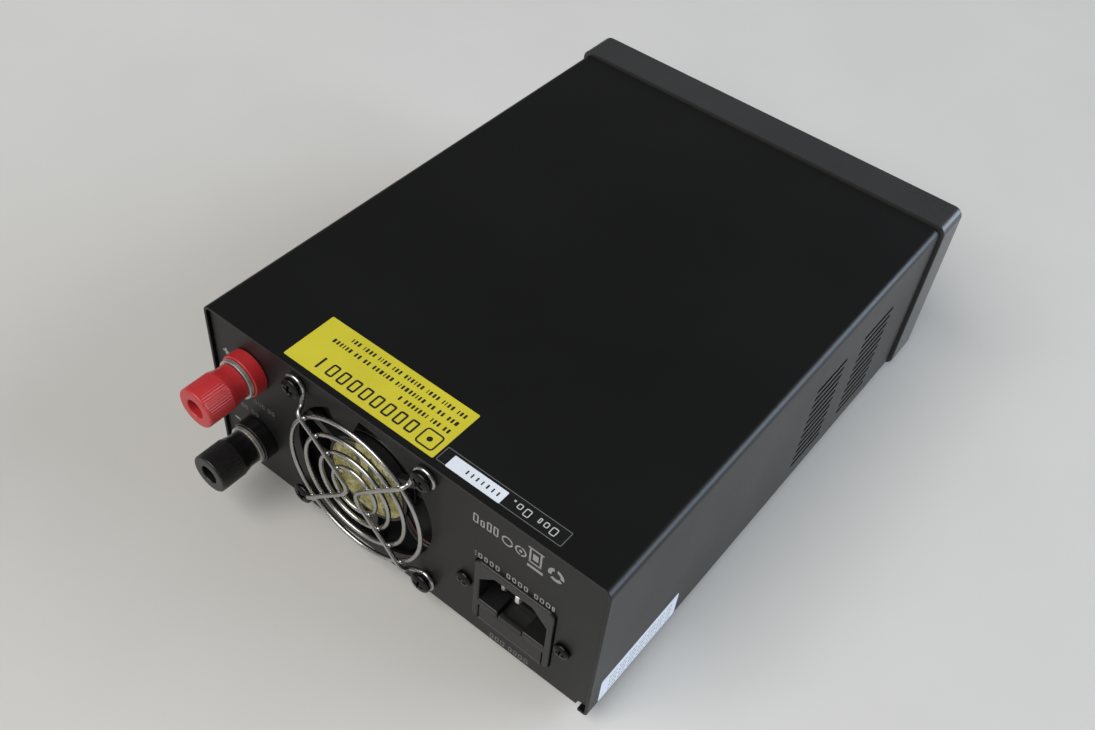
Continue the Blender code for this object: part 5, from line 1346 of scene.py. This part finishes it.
side_w = CASE_W / 2
bm = bmesh.new()
prism(bm, rounded_poly(rect(50.0, 1.6, 89.0, 13.0), 0.8, 4), facing_side, side_w - 0.05, side_w + 0.07)
put(from_bm("side_label", bm, WHITE_LABEL, smooth=None), "chassis", slot="cover_coat")
shapes = []
for z in (9.9, 7.6, 5.4, 3.2):
    shapes += bars(53.0, 86.0, z - 0.45, z + 0.45, (0.9, 0.5, 0.7, -0.7, 0.6, 0.9, 0.4, 0.8, -0.6, 0.7), 0.35, 0.15)
marks("side_label_print", shapes, facing_side, side_w + 0.05, side_w + 0.085, LABEL_INK, "chassis", "cover_coat")

# Small generic prints on the rear panel.
def frame_row(u0, widths, gap, v0, v1, line, step=-1):
    """A row of small hollow frames; a negative width is a space."""
    out, u = [], u0
    for w in widths:
        if w > 0:
            out.append((u, v0, u + step * w, v1, line, min(0.45, w * 0.3)))
        u += step * (abs(w) + gap)
    return out


upper = frame_row(-29.4, (1.9,), 0, 52.4, 56.3, 0.48) + frame_row(-32.0, (1.5,), 0, 52.4, 55.2, 0.46)
upper += frame_row(-34.2, (1.7,), 0, 52.5, 56.4, 0.48) + frame_row(-36.5, (1.7,), 0, 52.6, 56.5, 0.48)
upper += frame_row(-30.8, (0.45, 1.45, 1.25, 1.35, 1.45), 0.72, 37.5, 39.7, 0.38)
upper += frame_row(-42.1, (1.35, 1.35, 1.45, 1.4), 0.66, 37.5, 39.7, 0.38)
upper += frame_row(-51.8, (1.35, 1.45, 1.5, 0.9), 0.62, 37.5, 39.7, 0.38)
framed("panel_print_frames", upper, facing_rear, FACE_Y - 0.04, FACE_Y + 0.03, GREY_LIGHT, "chassis", "panel_coat")
shapes = []
for x, start in ((-41.3, 6), (-45.9, 96)):
    for a in (start, start + 180):
        shapes.append(arc(x, 53.9, 1.95, a, a + 168, 18) + arc(x, 53.9, 1.4, a + 168, a, 18))
shapes.append(ring_of(-45.9, 53.9, 0.55, 12))
for a, b, c, d in ((-53.4, 58.2, -48.2, 58.8), (-52.9, 52.6, -52.3, 58.3), (-49.3, 52.6, -48.7, 58.3), (-52.9, 52.2, -48.7, 52.8), (-53.6, 49.9, -48.3, 51.0), (-51.7, 54.0, -49.9, 56.7)):
    shapes.append(rect(a, b, c, d))
for k in range(3):
    a = 90 + 120 * k
    shapes.append(arc(-57.7, 54.2, 2.7, a + 8, a + 100, 8) + arc(-57.7, 54.2, 1.5, a + 100, a + 8, 8))
marks("panel_print_upper", shapes, facing_rear, FACE_Y - 0.04, FACE_Y + 0.03, GREY_LIGHT, "chassis", "panel_coat")
lower = frame_row(-38.1, (1.4, 1.4, 1.6), 0.6, 1.5, 3.8, 0.36) + frame_row(-45.2, (1.3, 1.3, 1.4, 1.5), 0.6, 1.5, 3.8, 0.36)
lower += frame_row(65.6, (1.2, 1.2, -0.7, 1.2, 1.3), 0.5, 25.4, 27.3, 0.34) + frame_row(58.9, (1.2, 1.2, 1.2, -0.4, 1.2, 1.2), 0.5, 32.0, 33.9, 0.34)
framed("panel_print_lower", lower, facing_rear, FACE_Y - 0.04, FACE_Y + 0.03, GREY_DIM, "chassis", "panel_coat")
shapes = [rect(67.6, 47.6, 70.3, 48.4), rect(68.55, 48.4, 69.35, 49.4), rect(68.55, 46.6, 69.35, 47.6), rect(67.7, 16.6, 70.1, 17.4)]
marks("panel_print_posts", shapes, facing_rear, FACE_Y - 0.04, FACE_Y + 0.03, GREY_LIGHT, "chassis", "panel_coat")
